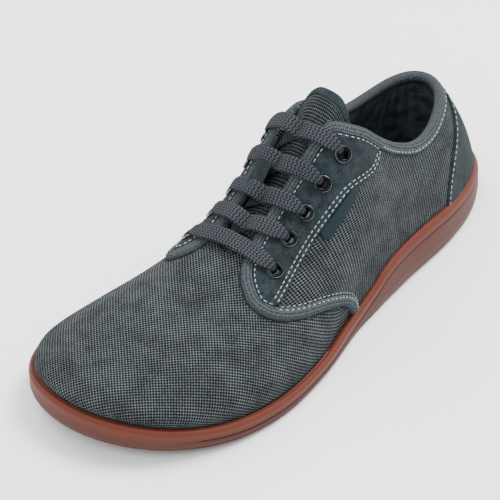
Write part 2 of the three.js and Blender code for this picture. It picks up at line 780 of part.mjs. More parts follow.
// The knitted binding: folded over the collar's edge, and laid on the quarters' other edges.
function makeBinding() {
  const base = QUARTER_STEP + GAP;
  const sheet = overlayForm(base + BINDING_THICKNESS, 2 * GAP);
  const under = lastForm(base, cutterHem);
  const edges = quarterRegion(0).subtract(quarterRegion(BINDING_WIDTH));
  const band = aboveCollar(BINDING_WIDTH).subtract(aboveCollar(0));
  const laid = sheet.subtract(under).intersect(edges.add(band)).subtract(aboveCollar(0));
  const lining = lastForm(-(UPPER_WALL + GAP), cutterHem);
  const deep = lastForm(-(UPPER_WALL + GAP + BINDING_THICKNESS), (along) => cutterHem(along) - SKIRT);
  const edge = aboveCollar(BINDING_THICKNESS).subtract(aboveCollar(0)).subtract(throatPrism(0));
  const top = sheet.subtract(lastForm(-UPPER_WALL, cutterHem)).intersect(edge);
  const folded = sheet.subtract(deep).intersect(edge).add(lining.subtract(deep).intersect(band));
  return laid.add(top).add(folded.intersect(behind(COLLAR[7].along * LAST_LENGTH)));
}

const RIBBON_SECTION = [[-0.5, 0], [-0.42, -0.5], [0.42, -0.5], [0.5, 0], [0.42, 0.5], [-0.42, 0.5]];

// A flat strip swept along points, each with the direction that its face looks in.
function ribbon(path, width, thickness) {
  const count = path.length;
  const rings = path.map(({ point, outward }, i) => {
    const before = path[Math.max(i - 1, 0)].point;
    const after = path[Math.min(i + 1, count - 1)].point;
    const run = after.clone().sub(before).normalize();
    const wide = run.clone().cross(outward).normalize();
    const thick = wide.clone().cross(run).normalize();
    return RIBBON_SECTION.map(
      ([w, h]) => point.clone().addScaledVector(wide, w * width).addScaledVector(thick, h * thickness),
    );
  });
  const faces = [];
  const sides = rings[0].length;
  for (let j = 0; j + 1 < count; j += 1) {
    for (let i = 0; i < sides; i += 1) {
      const next = (i + 1) % sides;
      faces.push([j * sides + i, j * sides + next, (j + 1) * sides + next]);
      faces.push([j * sides + i, (j + 1) * sides + next, (j + 1) * sides + i]);
    }
  }
  for (let i = 1; i + 1 < sides; i += 1) {
    faces.push([0, i + 1, i]);
    const end = (count - 1) * sides;
    faces.push([end, end + i, end + i + 1]);
  }
  const geometry = new THREE.BufferGeometry().setFromPoints(rings.flat());
  geometry.setIndex(faces.flat());
  const made = solidOf(geometry);
  if (made.volume() > 0) return made;
  geometry.setIndex(faces.map((face) => [...face].reverse()).flat());
  return solidOf(geometry);
}

// One pass of the lace from beside an eyelet, over its facing and across the tongue, to
// under the other facing. share 0 is at the eyelet, 1 at the hidden end.
const LACE_PATH = [
  { share: 0, height: 1 },
  { share: 0.16, height: 1 },
  { share: 0.32, height: 1 },
  { share: 0.42, height: 0.78 },
  { share: 0.53, height: 0.4 },
  { share: 0.64, height: 0.1 },
  { share: 0.74, height: 0 },
  { share: 1, height: 0 },
];
const LACE_OVER = QUARTER_STEP + 2 * GAP + Math.max(OVERLAY, BINDING_THICKNESS) + GAP + LACE_THICKNESS / 2;
const LACE_UNDER = -(UPPER_WALL + 4 * GAP + LACE_THICKNESS / 2);
const LACE_CLEAR = EYELET_FLANGE + 1.2; // where a pass stops short of its eyelet

function lacePath(start, end, rise) {
  return LACE_PATH.map((row) => {
    const x = start.x + (end.x - start.x) * row.share;
    const y = start.y + (end.y - start.y) * row.share;
    const bump = Math.max(0, 1 - Math.abs(row.share - 0.5) * 4);
    const offset = LACE_UNDER + (LACE_OVER - LACE_UNDER) * row.height + rise * bump;
    return onLast(x, y, offset);
  });
}

function lacePass(index, side, rise) {
  const seat = EYELETS[index];
  const next = EYELETS[index + 1];
  const middle = (seat.along + next.along) / 2;
  const x = seat.along * LAST_LENGTH;
  const from = at(x, acrossAt(x, seat.half * BALL_WIDTH - LACE_CLEAR, side));
  const reach = columnAt(FACING_EDGE, "half", middle) * BALL_WIDTH + LACE_WIDTH;
  const to = at(middle * LAST_LENGTH, acrossAt(middle * LAST_LENGTH, reach, -side));
  return ribbon(lacePath(from, to, rise), LACE_WIDTH, LACE_THICKNESS);
}

function makeLaceCrossing(index) {
  return lacePass(index, 1, 0).add(lacePass(index, -1, LACE_THICKNESS));
}

// The lowest pass runs straight from eyelet to eyelet over both facings.
function makeLaceBar() {
  const row = EYELETS[EYELETS.length - 1];
  const half = row.half * BALL_WIDTH - LACE_CLEAR;
  const shares = [-1, -0.66, -0.33, 0, 0.33, 0.66, 1];
  const across = (share) => acrossAt(alongX(row), Math.abs(share) * half, share || 1);
  const path = shares.map((share) => onLast(alongX(row), across(share), LACE_OVER));
  return ribbon(path, LACE_WIDTH, LACE_THICKNESS);
}

// The suede keeper on the tongue: a low bridge over the second crossing.
function makeKeeper() {
  const middle = KEEPER_ALONG * LAST_LENGTH;
  const foot = -tongueDepth + GAP + KEEPER_THICKNESS / 2;
  const top = LACE_OVER + LACE_THICKNESS + GAP + KEEPER_THICKNESS / 2;
  const rows = [
    { share: -0.5, offset: foot },
    { share: -0.47, offset: (foot + top) / 2 },
    { share: -0.42, offset: top },
    { share: 0, offset: top },
    { share: 0.42, offset: top },
    { share: 0.47, offset: (foot + top) / 2 },
    { share: 0.5, offset: foot },
  ];
  const path = rows.map((row) => onLast(middle + row.share * KEEPER_LENGTH, throatMiddle, row.offset));
  return ribbon(path, KEEPER_WIDTH, KEEPER_THICKNESS);
}
const GREY_MESH = { color: 0x5a6064, roughness: 0.9, metalness: 0 };
const TEAL_SUEDE = { color: 0x3c474b, roughness: 0.95, metalness: 0 };
const KNIT = { color: 0x4d5357, roughness: 0.9, metalness: 0 };
const GUM = { color: 0xa35d4b, roughness: 0.6, metalness: 0 };
const LINING = { color: 0x2c2f33, roughness: 0.95, metalness: 0 };
const LABEL = { color: 0x1d3a42, roughness: 0.8, metalness: 0 };
const DARK_METAL = { color: 0x1c1e20, roughness: 0.35, metalness: 0.9 };
const LACE = { color: 0x55585d, roughness: 0.9, metalness: 0 };

// Turns a solid back into a named mesh.
function meshOf(name, solid, finish) {
  const mesh = solid.simplify(SIMPLIFY).getMesh();
  const points = [];
  for (let i = 0; i < mesh.numVert; i += 1) {
    points.push(new THREE.Vector3(...mesh.vertProperties.slice(i * mesh.numProp, i * mesh.numProp + 3)));
  }
  const geometry = new THREE.BufferGeometry().setFromPoints(points);
  geometry.setIndex(Array.from(mesh.triVerts));
  geometry.computeVertexNormals();
  const made = new THREE.Mesh(geometry, new THREE.MeshStandardMaterial(finish));
  made.name = name;
  return made;
}

const shoe = new THREE.Group();
shoe.add(meshOf("outsole", makeOutsole(), GUM));
shoe.add(meshOf("insole", makeInsole(), LINING));
shoe.add(meshOf("upper", makeUpper(), GREY_MESH));
shoe.add(meshOf("tongue", makeTongue(), GREY_MESH));
shoe.add(meshOf("tongue_band", makeTongueBand(), TEAL_SUEDE));
shoe.add(meshOf("heel_counter", makeCounter(), TEAL_SUEDE));
shoe.add(meshOf("eyestay_lateral", makeEyestay(1), TEAL_SUEDE));
shoe.add(meshOf("eyestay_medial", makeEyestay(-1), TEAL_SUEDE));
shoe.add(meshOf("edge_binding", makeBinding(), KNIT));
shoe.add(meshOf("side_label", makeLabel(), LABEL));
shoe.add(meshOf("lace_keeper", makeKeeper(), TEAL_SUEDE));
for (let i = 0; i + 1 < EYELETS.length; i += 1) {
  shoe.add(meshOf(`lace_crossing_${i + 1}`, makeLaceCrossing(i), LACE));
}
shoe.add(meshOf("lace_bar", makeLaceBar(), LACE));
for (const [side, word] of [[1, "lateral"], [-1, "medial"]]) {
  seats[side].forEach((seat, i) => {
    const eyelet = solidOf(placeAlong(eyeletGeometry(), seat));
    shoe.add(meshOf(`eyelet_${word}_${i + 1}`, eyelet, DARK_METAL));
  });
}

// The origin is on the floor under the middle of the outsole's box.
const soleBox = new THREE.Box3().setFromObject(shoe.getObjectByName("outsole"));
const middle = soleBox.getCenter(new THREE.Vector3());
shoe.position.set(-middle.x, -middle.y, -soleBox.min.z);

export default shoe;
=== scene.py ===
"""Looks of a left barefoot shoe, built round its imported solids: knit, suede, laces, gum sole."""

from __future__ import annotations

import functools
import logging
import math
from dataclasses import dataclass, field
from enum import Enum
from typing import Any, Sequence

import bmesh
import bpy
import numpy as np
from mathutils import Matrix, Vector
from mathutils.bvhtree import BVHTree


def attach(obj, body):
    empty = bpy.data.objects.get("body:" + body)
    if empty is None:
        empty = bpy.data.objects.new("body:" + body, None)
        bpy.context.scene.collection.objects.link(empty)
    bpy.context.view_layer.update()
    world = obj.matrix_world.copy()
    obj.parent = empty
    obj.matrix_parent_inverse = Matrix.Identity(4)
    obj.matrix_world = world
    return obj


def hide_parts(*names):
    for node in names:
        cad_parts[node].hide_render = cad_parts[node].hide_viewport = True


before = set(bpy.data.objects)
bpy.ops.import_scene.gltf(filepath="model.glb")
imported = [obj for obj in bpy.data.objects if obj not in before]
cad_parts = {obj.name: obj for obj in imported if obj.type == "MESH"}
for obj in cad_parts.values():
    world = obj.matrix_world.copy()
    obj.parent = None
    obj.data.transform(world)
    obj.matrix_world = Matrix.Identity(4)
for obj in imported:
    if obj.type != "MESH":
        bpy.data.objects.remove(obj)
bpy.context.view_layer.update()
log = logging.getLogger("shoe")

Array = np.ndarray
MM = 0.001
STEP = 1e-3
FAR = 400.0  # a place well outside the shoe
TOP_CLIMB = 0.93  # the way out is taken no nearer to the crown line than this

# Driving sizes in millimetres. Places on the last count from the back of the heel.
LAST_LENGTH = 279.0
BALL_WIDTH = 101.0
CROWN_HEIGHT = 102.0
RIM_HEIGHT = 14.8
SIDE_SWELL = 2.5
TOE_SPRING = 8.2
UPPER_WALL = 2.0
QUARTER_STEP = 1.2
OVERLAY = 1.0
BINDING_WIDTH = 5.2
BINDING_RISE = 1.1
TONGUE_THICKNESS = 3.4
TONGUE_DROP = 3.7
TONGUE_LIFT = 11.0
OUTSOLE_FLOOR = 4.5
RIM_OUT = 3.8
GAP = 0.3
LACE_WIDTH = 8.0
LACE_THICKNESS = 1.5
EYELET_FLANGE = 4.1
SPRING_START = 0.7
CAD_AROUND = 56

# Feather line from the heel along the little-toe side to the toe and back: along, across.
OUTLINE = (
    (0.0, 0.0), (0.022, 0.155), (0.075, 0.257), (0.18, 0.334), (0.33, 0.364), (0.48, 0.417),
    (0.62, 0.511), (0.74, 0.534), (0.85, 0.468), (0.94, 0.297), (0.99, 0.069), (0.998, -0.162),
    (0.97, -0.364), (0.9, -0.494), (0.78, -0.49), (0.65, -0.437), (0.5, -0.338), (0.35, -0.29),
    (0.18, -0.292), (0.075, -0.245), (0.022, -0.142),
)
# Sections of the last: along, crown, fullness, lean, swell, feather, centre.
SECTIONS = np.array((
    (0.0, 0.98, 4.0, 0.88, 1.0, 0.98, 0.0),
    (0.15, 0.98, 4.0, 0.65, 1.0, 1.0, 0.005),
    (0.3, 1.0, 3.4, 0.45, 0.8, 0.86, 0.01),
    (0.42, 0.95, 2.6, 0.1, 0.4, 0.75, 0.01),
    (0.55, 0.62, 2.2, 0.05, 0.4, 0.64, 0.01),
    (0.68, 0.446, 2.1, 0.0, 0.6, 0.64, 0.005),
    (0.8, 0.39, 2.3, 0.0, 0.6, 0.78, -0.01),
    (0.92, 0.341, 2.5, 0.0, 0.6, 1.1, -0.05),
    (1.0, 0.358, 2.6, 0.0, 0.6, 1.5, -0.1),
))
CROWN_START, CROWN_END, CROWN_EASE = 0.15, 0.86, 0.035
THROAT_MIDDLE = -0.043 * BALL_WIDTH
THROAT_END = 0.6
# Lines on the upper: along and up seen from the side, or along and half seen from above.
COLLAR = (
    (-0.06, 0.735), (0.06, 0.722), (0.125, 0.672), (0.185, 0.63), (0.235, 0.634), (0.285, 0.7),
    (0.33, 0.8), (0.368, 0.903), (0.4, 0.953), (0.417, 0.985), (0.424, 1.06), (0.427, 1.3),
)
FACING_EDGE = (
    (0.3, 0.125), (0.36, 0.125), (0.4, 0.125), (0.435, 0.122), (0.47, 0.114), (0.51, 0.098),
    (0.55, 0.092), (0.6, 0.106), (0.635, 0.132), (0.658, 0.175), (0.675, 0.235), (0.687, 0.295),
    (0.692, 0.37), (0.693, 0.48), (0.693, 0.75),
)
QUARTER_EDGE = (
    (0.485, -0.1), (0.493, 0.12), (0.51, 0.2), (0.535, 0.252), (0.577, 0.3), (0.622, 0.326),
    (0.658, 0.35), (0.685, 0.385), (0.72, 0.45),
)
EYESTAY_EDGE = (
    (0.32, 0.22), (0.345, 0.285), (0.375, 0.325), (0.41, 0.338), (0.445, 0.334), (0.49, 0.33),
    (0.53, 0.326), (0.57, 0.338), (0.61, 0.36), (0.655, 0.385), (0.71, 0.41),
)
COUNTER_EDGE = (
    (0.183, 0.0), (0.182, 0.193), (0.168, 0.325), (0.142, 0.42), (0.112, 0.5), (0.09, 0.58),
    (0.082, 0.68), (0.08, 0.85),
)
LABEL_CORNERS = ((0.524, 0.568), (0.512, 0.536), (0.425, 0.688), (0.438, 0.722))
EYELETS = ((0.43, 0.254), (0.476, 0.25), (0.518, 0.244), (0.561, 0.243), (0.613, 0.277))
TONGUE_EDGE = (
    (0.374, 0.215), (0.377, 0.242), (0.383, 0.262), (0.4, 0.275), (0.46, 0.26), (0.56, 0.235),
    (0.66, 0.2), (0.685, 0.1),
)
TONGUE_BAND = 4.8
TONGUE_BEND = 0.437 * LAST_LENGTH
TREAD_START, TREAD_END = 0.06, 0.97
# The rim of the sole: along, its climb over the feather line in mm, how upright the side stands.
RIM_CLIMB = np.array((
    (0.0, 4.0, 0.0), (0.03, 4.3, 0.3), (0.1, 5.0, 0.9), (0.15, 5.6, 1.0), (0.2, 7.0, 1.0),
    (0.23, 8.2, 1.0), (0.26, 8.7, 1.0), (0.3, 9.1, 1.0), (0.36, 9.1, 1.0), (0.39, 7.9, 0.9),
    (0.424, 4.4, 0.8), (0.455, 2.6, 0.6), (0.486, 1.2, 0.45), (0.545, 0.6, 0.3), (0.62, 0.0, 0.0),
    (1.0, 0.0, 0.0),
))
TONGUE_BEND_LENGTH = 18.0
TONGUE_DEPTH = UPPER_WALL + TONGUE_DROP
KEEPER_ALONG = 0.4895 * LAST_LENGTH
OVERLAY_BASE = QUARTER_STEP + GAP
EYELET_SEAT = OVERLAY_BASE + OVERLAY + GAP


class Side(Enum):
    """The two sides of the shoe, with the sign of Y on each."""

    LATERAL = 1
    MEDIAL = -1


def hermite(rows: Array, column: int, along: Array) -> Array:
    """A column of a table at places along it, on a smooth curve through the rows.

    Args:
        rows: the table, with the place along it in its first column.
        column: the column to read.
        along: the places.

    Returns:
        One value for each place.
    """
    x, y = rows[:, 0], rows[:, column]
    step = np.diff(x)
    slope = np.diff(y) / step
    tangent = np.empty_like(y)
    tangent[0], tangent[-1] = slope[0], slope[-1]
    tangent[1:-1] = (slope[:-1] * step[1:] + slope[1:] * step[:-1]) / (step[1:] + step[:-1])
    at = np.clip(along, x[0], x[-1])
    i = np.clip(np.searchsorted(x, at, side="right") - 1, 0, len(x) - 2)
    h = step[i]
    u = (at - x[i]) / h
    low = y[i] * (1 + 2 * u) * (1 - u) ** 2 + tangent[i] * h * u * (1 - u) ** 2
    return low + y[i + 1] * u * u * (3 - 2 * u) + tangent[i + 1] * h * u * u * (u - 1)


def outline_at(turn: Array) -> Array:
    """Points of the feather line in millimetres, turn 0 to 1 round it from the heel."""
    points = np.array(OUTLINE) * (LAST_LENGTH, BALL_WIDTH)
    n = len(points)
    place = (np.asarray(turn, float) % 1.0) * n
    i = np.floor(place).astype(int)
    u = (place - i)[..., None]
    p0, p1, p2, p3 = (points[(i + k) % n] for k in (-1, 0, 1, 2))
    d0, d1, d2 = (np.sum((b - a) ** 2, -1)[..., None] ** 0.25 for a, b in ((p0, p1), (p1, p2), (p2, p3)))
    t1 = ((p1 - p0) / d0 - (p2 - p0) / (d0 + d1) + (p2 - p1) / d1) * d1
    t2 = ((p2 - p1) / d1 - (p3 - p1) / (d1 + d2) + (p3 - p2) / d2) * d1
    return p1 + t1 * u + (-3 * p1 + 3 * p2 - 2 * t1 - t2) * u**2 + (2 * p1 - 2 * p2 + t1 + t2) * u**3


def outward_at(turn: Array) -> Array:
    """The level way out of the feather line at each turn."""
    run = outline_at(turn - STEP) - outline_at(turn + STEP)
    out = np.stack([run[..., 1], -run[..., 0]], -1)
    return out / np.linalg.norm(out, axis=-1, keepdims=True)


def eased(along: Array) -> Array:
    """The crown line's place along the foot: it follows along, but stops at both ends."""
    start = np.logaddexp(0, (along - CROWN_START) / CROWN_EASE)
    end = np.logaddexp(0, (along - CROWN_END) / CROWN_EASE)
    return CROWN_START + (start - end) * CROWN_EASE


def spine_at(turn: Array) -> Array:
    """The crown line's point, seen from above, that each turn leans towards."""
    crown = eased(outline_at(turn)[..., 0] / LAST_LENGTH)
    return np.stack([crown * LAST_LENGTH, hermite(SECTIONS, 6, crown) * BALL_WIDTH], -1)


def last_point(turn: Array, climb: Array) -> Array:
    """A point of the last: turn runs round the outline, climb 0 to 1 from feather to crown."""
    turn, climb = np.broadcast_arrays(np.asarray(turn, float), np.asarray(climb, float))
    foot = outline_at(turn)
    along = foot[..., 0] / LAST_LENGTH
    spine = spine_at(turn)
    arm = foot - spine
    full = hermite(SECTIONS, 2, along)
    angle = climb * np.pi / 2
    c, s = np.cos(angle).clip(0), np.sin(angle).clip(0)
    radius = (c**full + s**full) ** (-1 / full)
    inward, upward = radius * c, radius * s
    swell = hermite(SECTIONS, 4, along) * SIDE_SWELL * np.sin(np.pi * np.minimum(upward * 1.6, 1))
    reach = inward * (1 - hermite(SECTIONS, 3, along) * upward) + swell / np.linalg.norm(arm, axis=-1)
    place = spine + arm * reach[..., None]
    feather = feather_at(along)
    height = hermite(SECTIONS, 1, place[..., 0] / LAST_LENGTH) * CROWN_HEIGHT
    return np.concatenate([place, (feather + (height - feather) * upward)[..., None]], -1)


def origin() -> Array:
    """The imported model's origin: the middle of the sole's box on the floor, on the last."""
    turn = 1 - np.arange(CAD_AROUND) / CAD_AROUND
    rim = outline_at(turn) + outward_at(turn) * RIM_OUT
    return np.array([*(rim.min(0) + rim.max(0)) / 2, 0.0])


ORIGIN = origin()


def feather_at(along: Array) -> Array:
    """Height of the feather line."""
    return hermite(SECTIONS, 5, along) * RIM_HEIGHT


def underside_at(along: Array) -> Array:
    """Height of the sole's underside: flat, then rising to the toe."""
    rise = np.maximum(0, (np.asarray(along) - SPRING_START) / (1 - SPRING_START))
    return TOE_SPRING * rise**2


def last_normal(turn: Array, climb: Array) -> Array:
    """The way out of the last's skin."""
    sideways = last_point(turn - STEP, climb) - last_point(turn + STEP, climb)
    up = last_point(turn, np.minimum(climb + STEP, 1)) - last_point(turn, np.maximum(climb - STEP, 0))
    return unit(np.cross(sideways, up))


def unit(rows: Array) -> Array:
    """The rows made one long."""
    return rows / np.maximum(np.linalg.norm(rows, axis=-1, keepdims=True), 1e-12)


def turn_at(x: Array, climb: Array, sign: Array) -> Array:
    """The turn at which the last's skin is at x, on the side that sign gives."""
    low, high = np.zeros_like(x), np.full_like(x, 0.5)
    for _ in range(20):
        middle = (low + high) / 2
        less = last_point(np.where(sign > 0, middle, 1 - middle), climb)[..., 0] < x
        low, high = np.where(less, middle, low), np.where(less, high, middle)
    return np.where(sign > 0, low, 1 - low)


def on_last(x: Array, y: Array, offset: Array = 0.0) -> tuple[Array, Array]:
    """Points over the last's upper skin, found from above.

    Args:
        x: places along the shoe.
        y: places across it.
        offset: how far the points stand off the skin.

    Returns:
        The points, and the way out of the skin at each.
    """
    x, y, offset = (np.array(a, float) for a in np.broadcast_arrays(x, y, offset))
    centre = hermite(SECTIONS, 6, eased(x / LAST_LENGTH)) * BALL_WIDTH
    sign = np.where(y >= centre, 1.0, -1.0)
    low, high = np.zeros_like(x), np.ones_like(x)
    for _ in range(16):
        climb = (low + high) / 2
        outside = sign * (last_point(turn_at(x, climb, sign), climb)[..., 1] - y) > 0
        low, high = np.where(outside, climb, low), np.where(outside, high, climb)
    climb = np.minimum(low, TOP_CLIMB)
    out = last_normal(turn_at(x, climb, sign), climb)
    top = last_point(turn_at(x, low, sign), low)
    return np.stack([x, y, top[..., 2]], -1) + out * offset[..., None], out


@functools.lru_cache(maxsize=None)
def section_at(x: float) -> tuple[Array, int]:
    """The last's cross-section at x, from the big-toe side, and its first point past the throat."""
    climb = (np.arange(40) + 0.5) / 40
    half = []
    for side in (Side.MEDIAL, Side.LATERAL):
        sign = np.full(40, float(side.value))
        half.append(last_point(turn_at(np.full(40, x), climb, sign), climb)[:, 1:])
    line = np.vstack([half[0], half[1][::-1]])
    return line, int(np.argmax(line[:, 0] > THROAT_MIDDLE))


def across_at(x: float, half: float, side: Side) -> float:
    """The place across the shoe at a distance from the throat's middle line.

    Args:
        x: the place along the shoe.
        half: the distance, seen from above on the little-toe side.
        side: the side wanted. On the big-toe side the distance is as long over the last.

    Returns:
        Y in the last's millimetres.
    """
    if side is Side.LATERAL:
        return THROAT_MIDDLE + half
    line, start = section_at(round(x * 2) / 2)
    step = np.linalg.norm(np.diff(line, axis=0), axis=1)
    goal = THROAT_MIDDLE + half
    k, arc = start, 0.0
    while k + 1 < len(line) and line[k + 1, 0] < goal:
        arc += step[k]
        k += 1
    arc += max(0.0, goal - line[k, 0])
    j = start
    while j > 1 and arc > step[j - 1]:
        arc -= step[j - 1]
        j -= 1
    if j <= 1:
        return float(line[0, 0] - arc)
    return float(line[j, 0] + (line[j - 1, 0] - line[j, 0]) * arc / step[j - 1])


def catmull(points: Sequence[Sequence[float]], count: int) -> Array:
    """Points of a smooth open curve through a few points, as many between each two."""
    p = np.asarray(points, float)
    p = np.vstack([2 * p[0] - p[1], p, 2 * p[-1] - p[-2]])
    u = np.linspace(0, 1, count, endpoint=False)[:, None]
    parts = []
    for a, b, c, d in zip(p[:-3], p[1:-2], p[2:-1], p[3:]):
        bent = 2 * b + (c - a) * u + (2 * a - 5 * b + 4 * c - d) * u**2
        parts.append((bent + (3 * b - a - 3 * c + d) * u**3) / 2)
    return np.vstack([*parts, p[-2:-1]])


def plan_line(rows: Sequence[tuple[float, float]], side: Side, count: int = 6) -> Array:
    """A line of along and half rows, seen from above on one side, in millimetres."""
    line = catmull([(a * LAST_LENGTH, h * BALL_WIDTH) for a, h in rows], count)
    return np.array([(x, across_at(x, half, side)) for x, half in line])


def side_line(rows: Sequence[tuple[float, float]], count: int = 8) -> Array:
    """A line of along and up rows seen from the side, in millimetres."""
    return catmull([(a * LAST_LENGTH, u * CROWN_HEIGHT) for a, u in rows], count)


def inside(polygon: Array, x: Array, y: Array) -> Array:
    """Whether each point is in a polygon."""
    found = np.zeros(x.shape, bool)
    for (x0, y0), (x1, y1) in zip(polygon, np.roll(polygon, -1, 0)):
        if y0 != y1:
            crossed = (y0 > y) != (y1 > y)
            found ^= crossed & (x < (x1 - x0) * (y - y0) / (y1 - y0) + x0)
    return found


def to_segments(points: Array, starts: Array, ends: Array) -> Array:
    """Distance of each point to the nearest of some segments."""
    best = np.full(len(points), np.inf)
    run = ends - starts
    square = np.maximum((run**2).sum(-1), 1e-12)
    for k in range(0, len(points), 1500):
        some = points[k:k + 1500, None] - starts
        share = np.clip((some * run).sum(-1) / square, 0, 1)
        best[k:k + 1500] = np.sqrt(((some - run * share[..., None]) ** 2).sum(-1).min(1))
    return best


def rounded(distance: Array, radius: float) -> Array:
    """Height of a round edge of height one, at a distance in from its foot."""
    share = np.clip(np.asarray(distance) / radius, 0, 1)
    return np.sqrt(1 - (1 - share) ** 2)


def corner(a: Array, b: Array, radius: float) -> Array:
    """The distance into both of two regions, with the corner where they meet made round."""
    sharp = np.minimum(a, b)
    near = (a < radius) & (b < radius)
    return np.where(near, radius - np.hypot(radius - a, radius - b), sharp)


@dataclass
class Skin:
    """A grid over the last: a place, a way out and flattened cloth coordinates at each point."""

    around: int = 400
    upward: int = 80
    top: float = 0.985
    skirt: tuple[float, ...] = (6.0, 3.0)
    point: Array = field(init=False)
    out: Array = field(init=False)
    cloth: Array = field(init=False)
    quads: Array = field(init=False)
    faces: list[tuple[int, ...]] = field(init=False)
    tree: BVHTree = field(init=False)

    def __post_init__(self) -> None:
        """Works out the grid."""
        turn, climb = np.meshgrid(
            1 - np.arange(self.around) / self.around, np.linspace(0, self.top, self.upward)
        )
        point, out = last_point(turn, climb), last_normal(turn, climb)
        out[0, :, 2] = 0
        out[0] = unit(out[0])
        hem = [point[0] - (0, 0, drop) for drop in self.skirt]
        point = np.concatenate([np.array(hem), point])
        out = np.concatenate([np.repeat(out[:1], len(hem), 0), out])
        rows, columns = point.shape[:2]
        spine = spine_at(turn[0])
        arm = unit(outline_at(turn[0]) - spine)
        down = np.linalg.norm(np.diff(point[::-1], axis=0), axis=-1)
        start = np.linalg.norm(point[-1, :, :2] - spine, axis=-1)
        arc = np.concatenate([start[None], start + np.cumsum(down, 0)])[::-1]
        self.point, self.out = point.reshape(-1, 3), out.reshape(-1, 3)
        self.cloth = (spine + arm * arc[..., None]).reshape(-1, 2)
        self.faces = hoops(rows, columns)
        self.quads = np.array(self.faces)
        self.faces += stitched((rows - 1) * columns, columns)
        self.tree = BVHTree.FromPolygons(self.point.tolist(), self.faces)

    def settle(self, points: Array) -> tuple[Array, Array]:
        """The nearest points of the skin to some points, and the way out of it at each."""
        place, out = [], []
        for p in points:
            spot, _, index, _ = self.tree.find_nearest(p)
            ring = list(self.faces[index])
            weight = 1 / (np.linalg.norm(self.point[ring] - np.array(spot), axis=1) + 0.05) ** 2
            place.append(spot)
            out.append((self.out[ring] * weight[:, None]).sum(0))
        return np.array(place), unit(np.array(out))


def hoops(rings: int, sides: int, closed: bool = False) -> list[tuple[int, ...]]:
    """Faces between rings of points in a row, and from the last to the first if it is closed."""
    faces = []
    for j in range(rings if closed else rings - 1):
        a, b = j * sides, (j + 1) % rings * sides
        faces += [(a + i, a + (i + 1) % sides, b + (i + 1) % sides, b + i) for i in range(sides)]
    return faces


def stitched(first: int, count: int) -> list[tuple[int, ...]]:
    """Faces across a ring that starts at the heel, from one side to the other."""
    faces: list[tuple[int, ...]] = [(first, first + 1, first + count - 1)]
    for k in range(2, count // 2):
        faces.append((first + k - 1, first + k, first + count - k, first + count - k + 1))
    toe = first + count // 2
    faces.append((toe - 1, toe, toe + 1))
    return faces


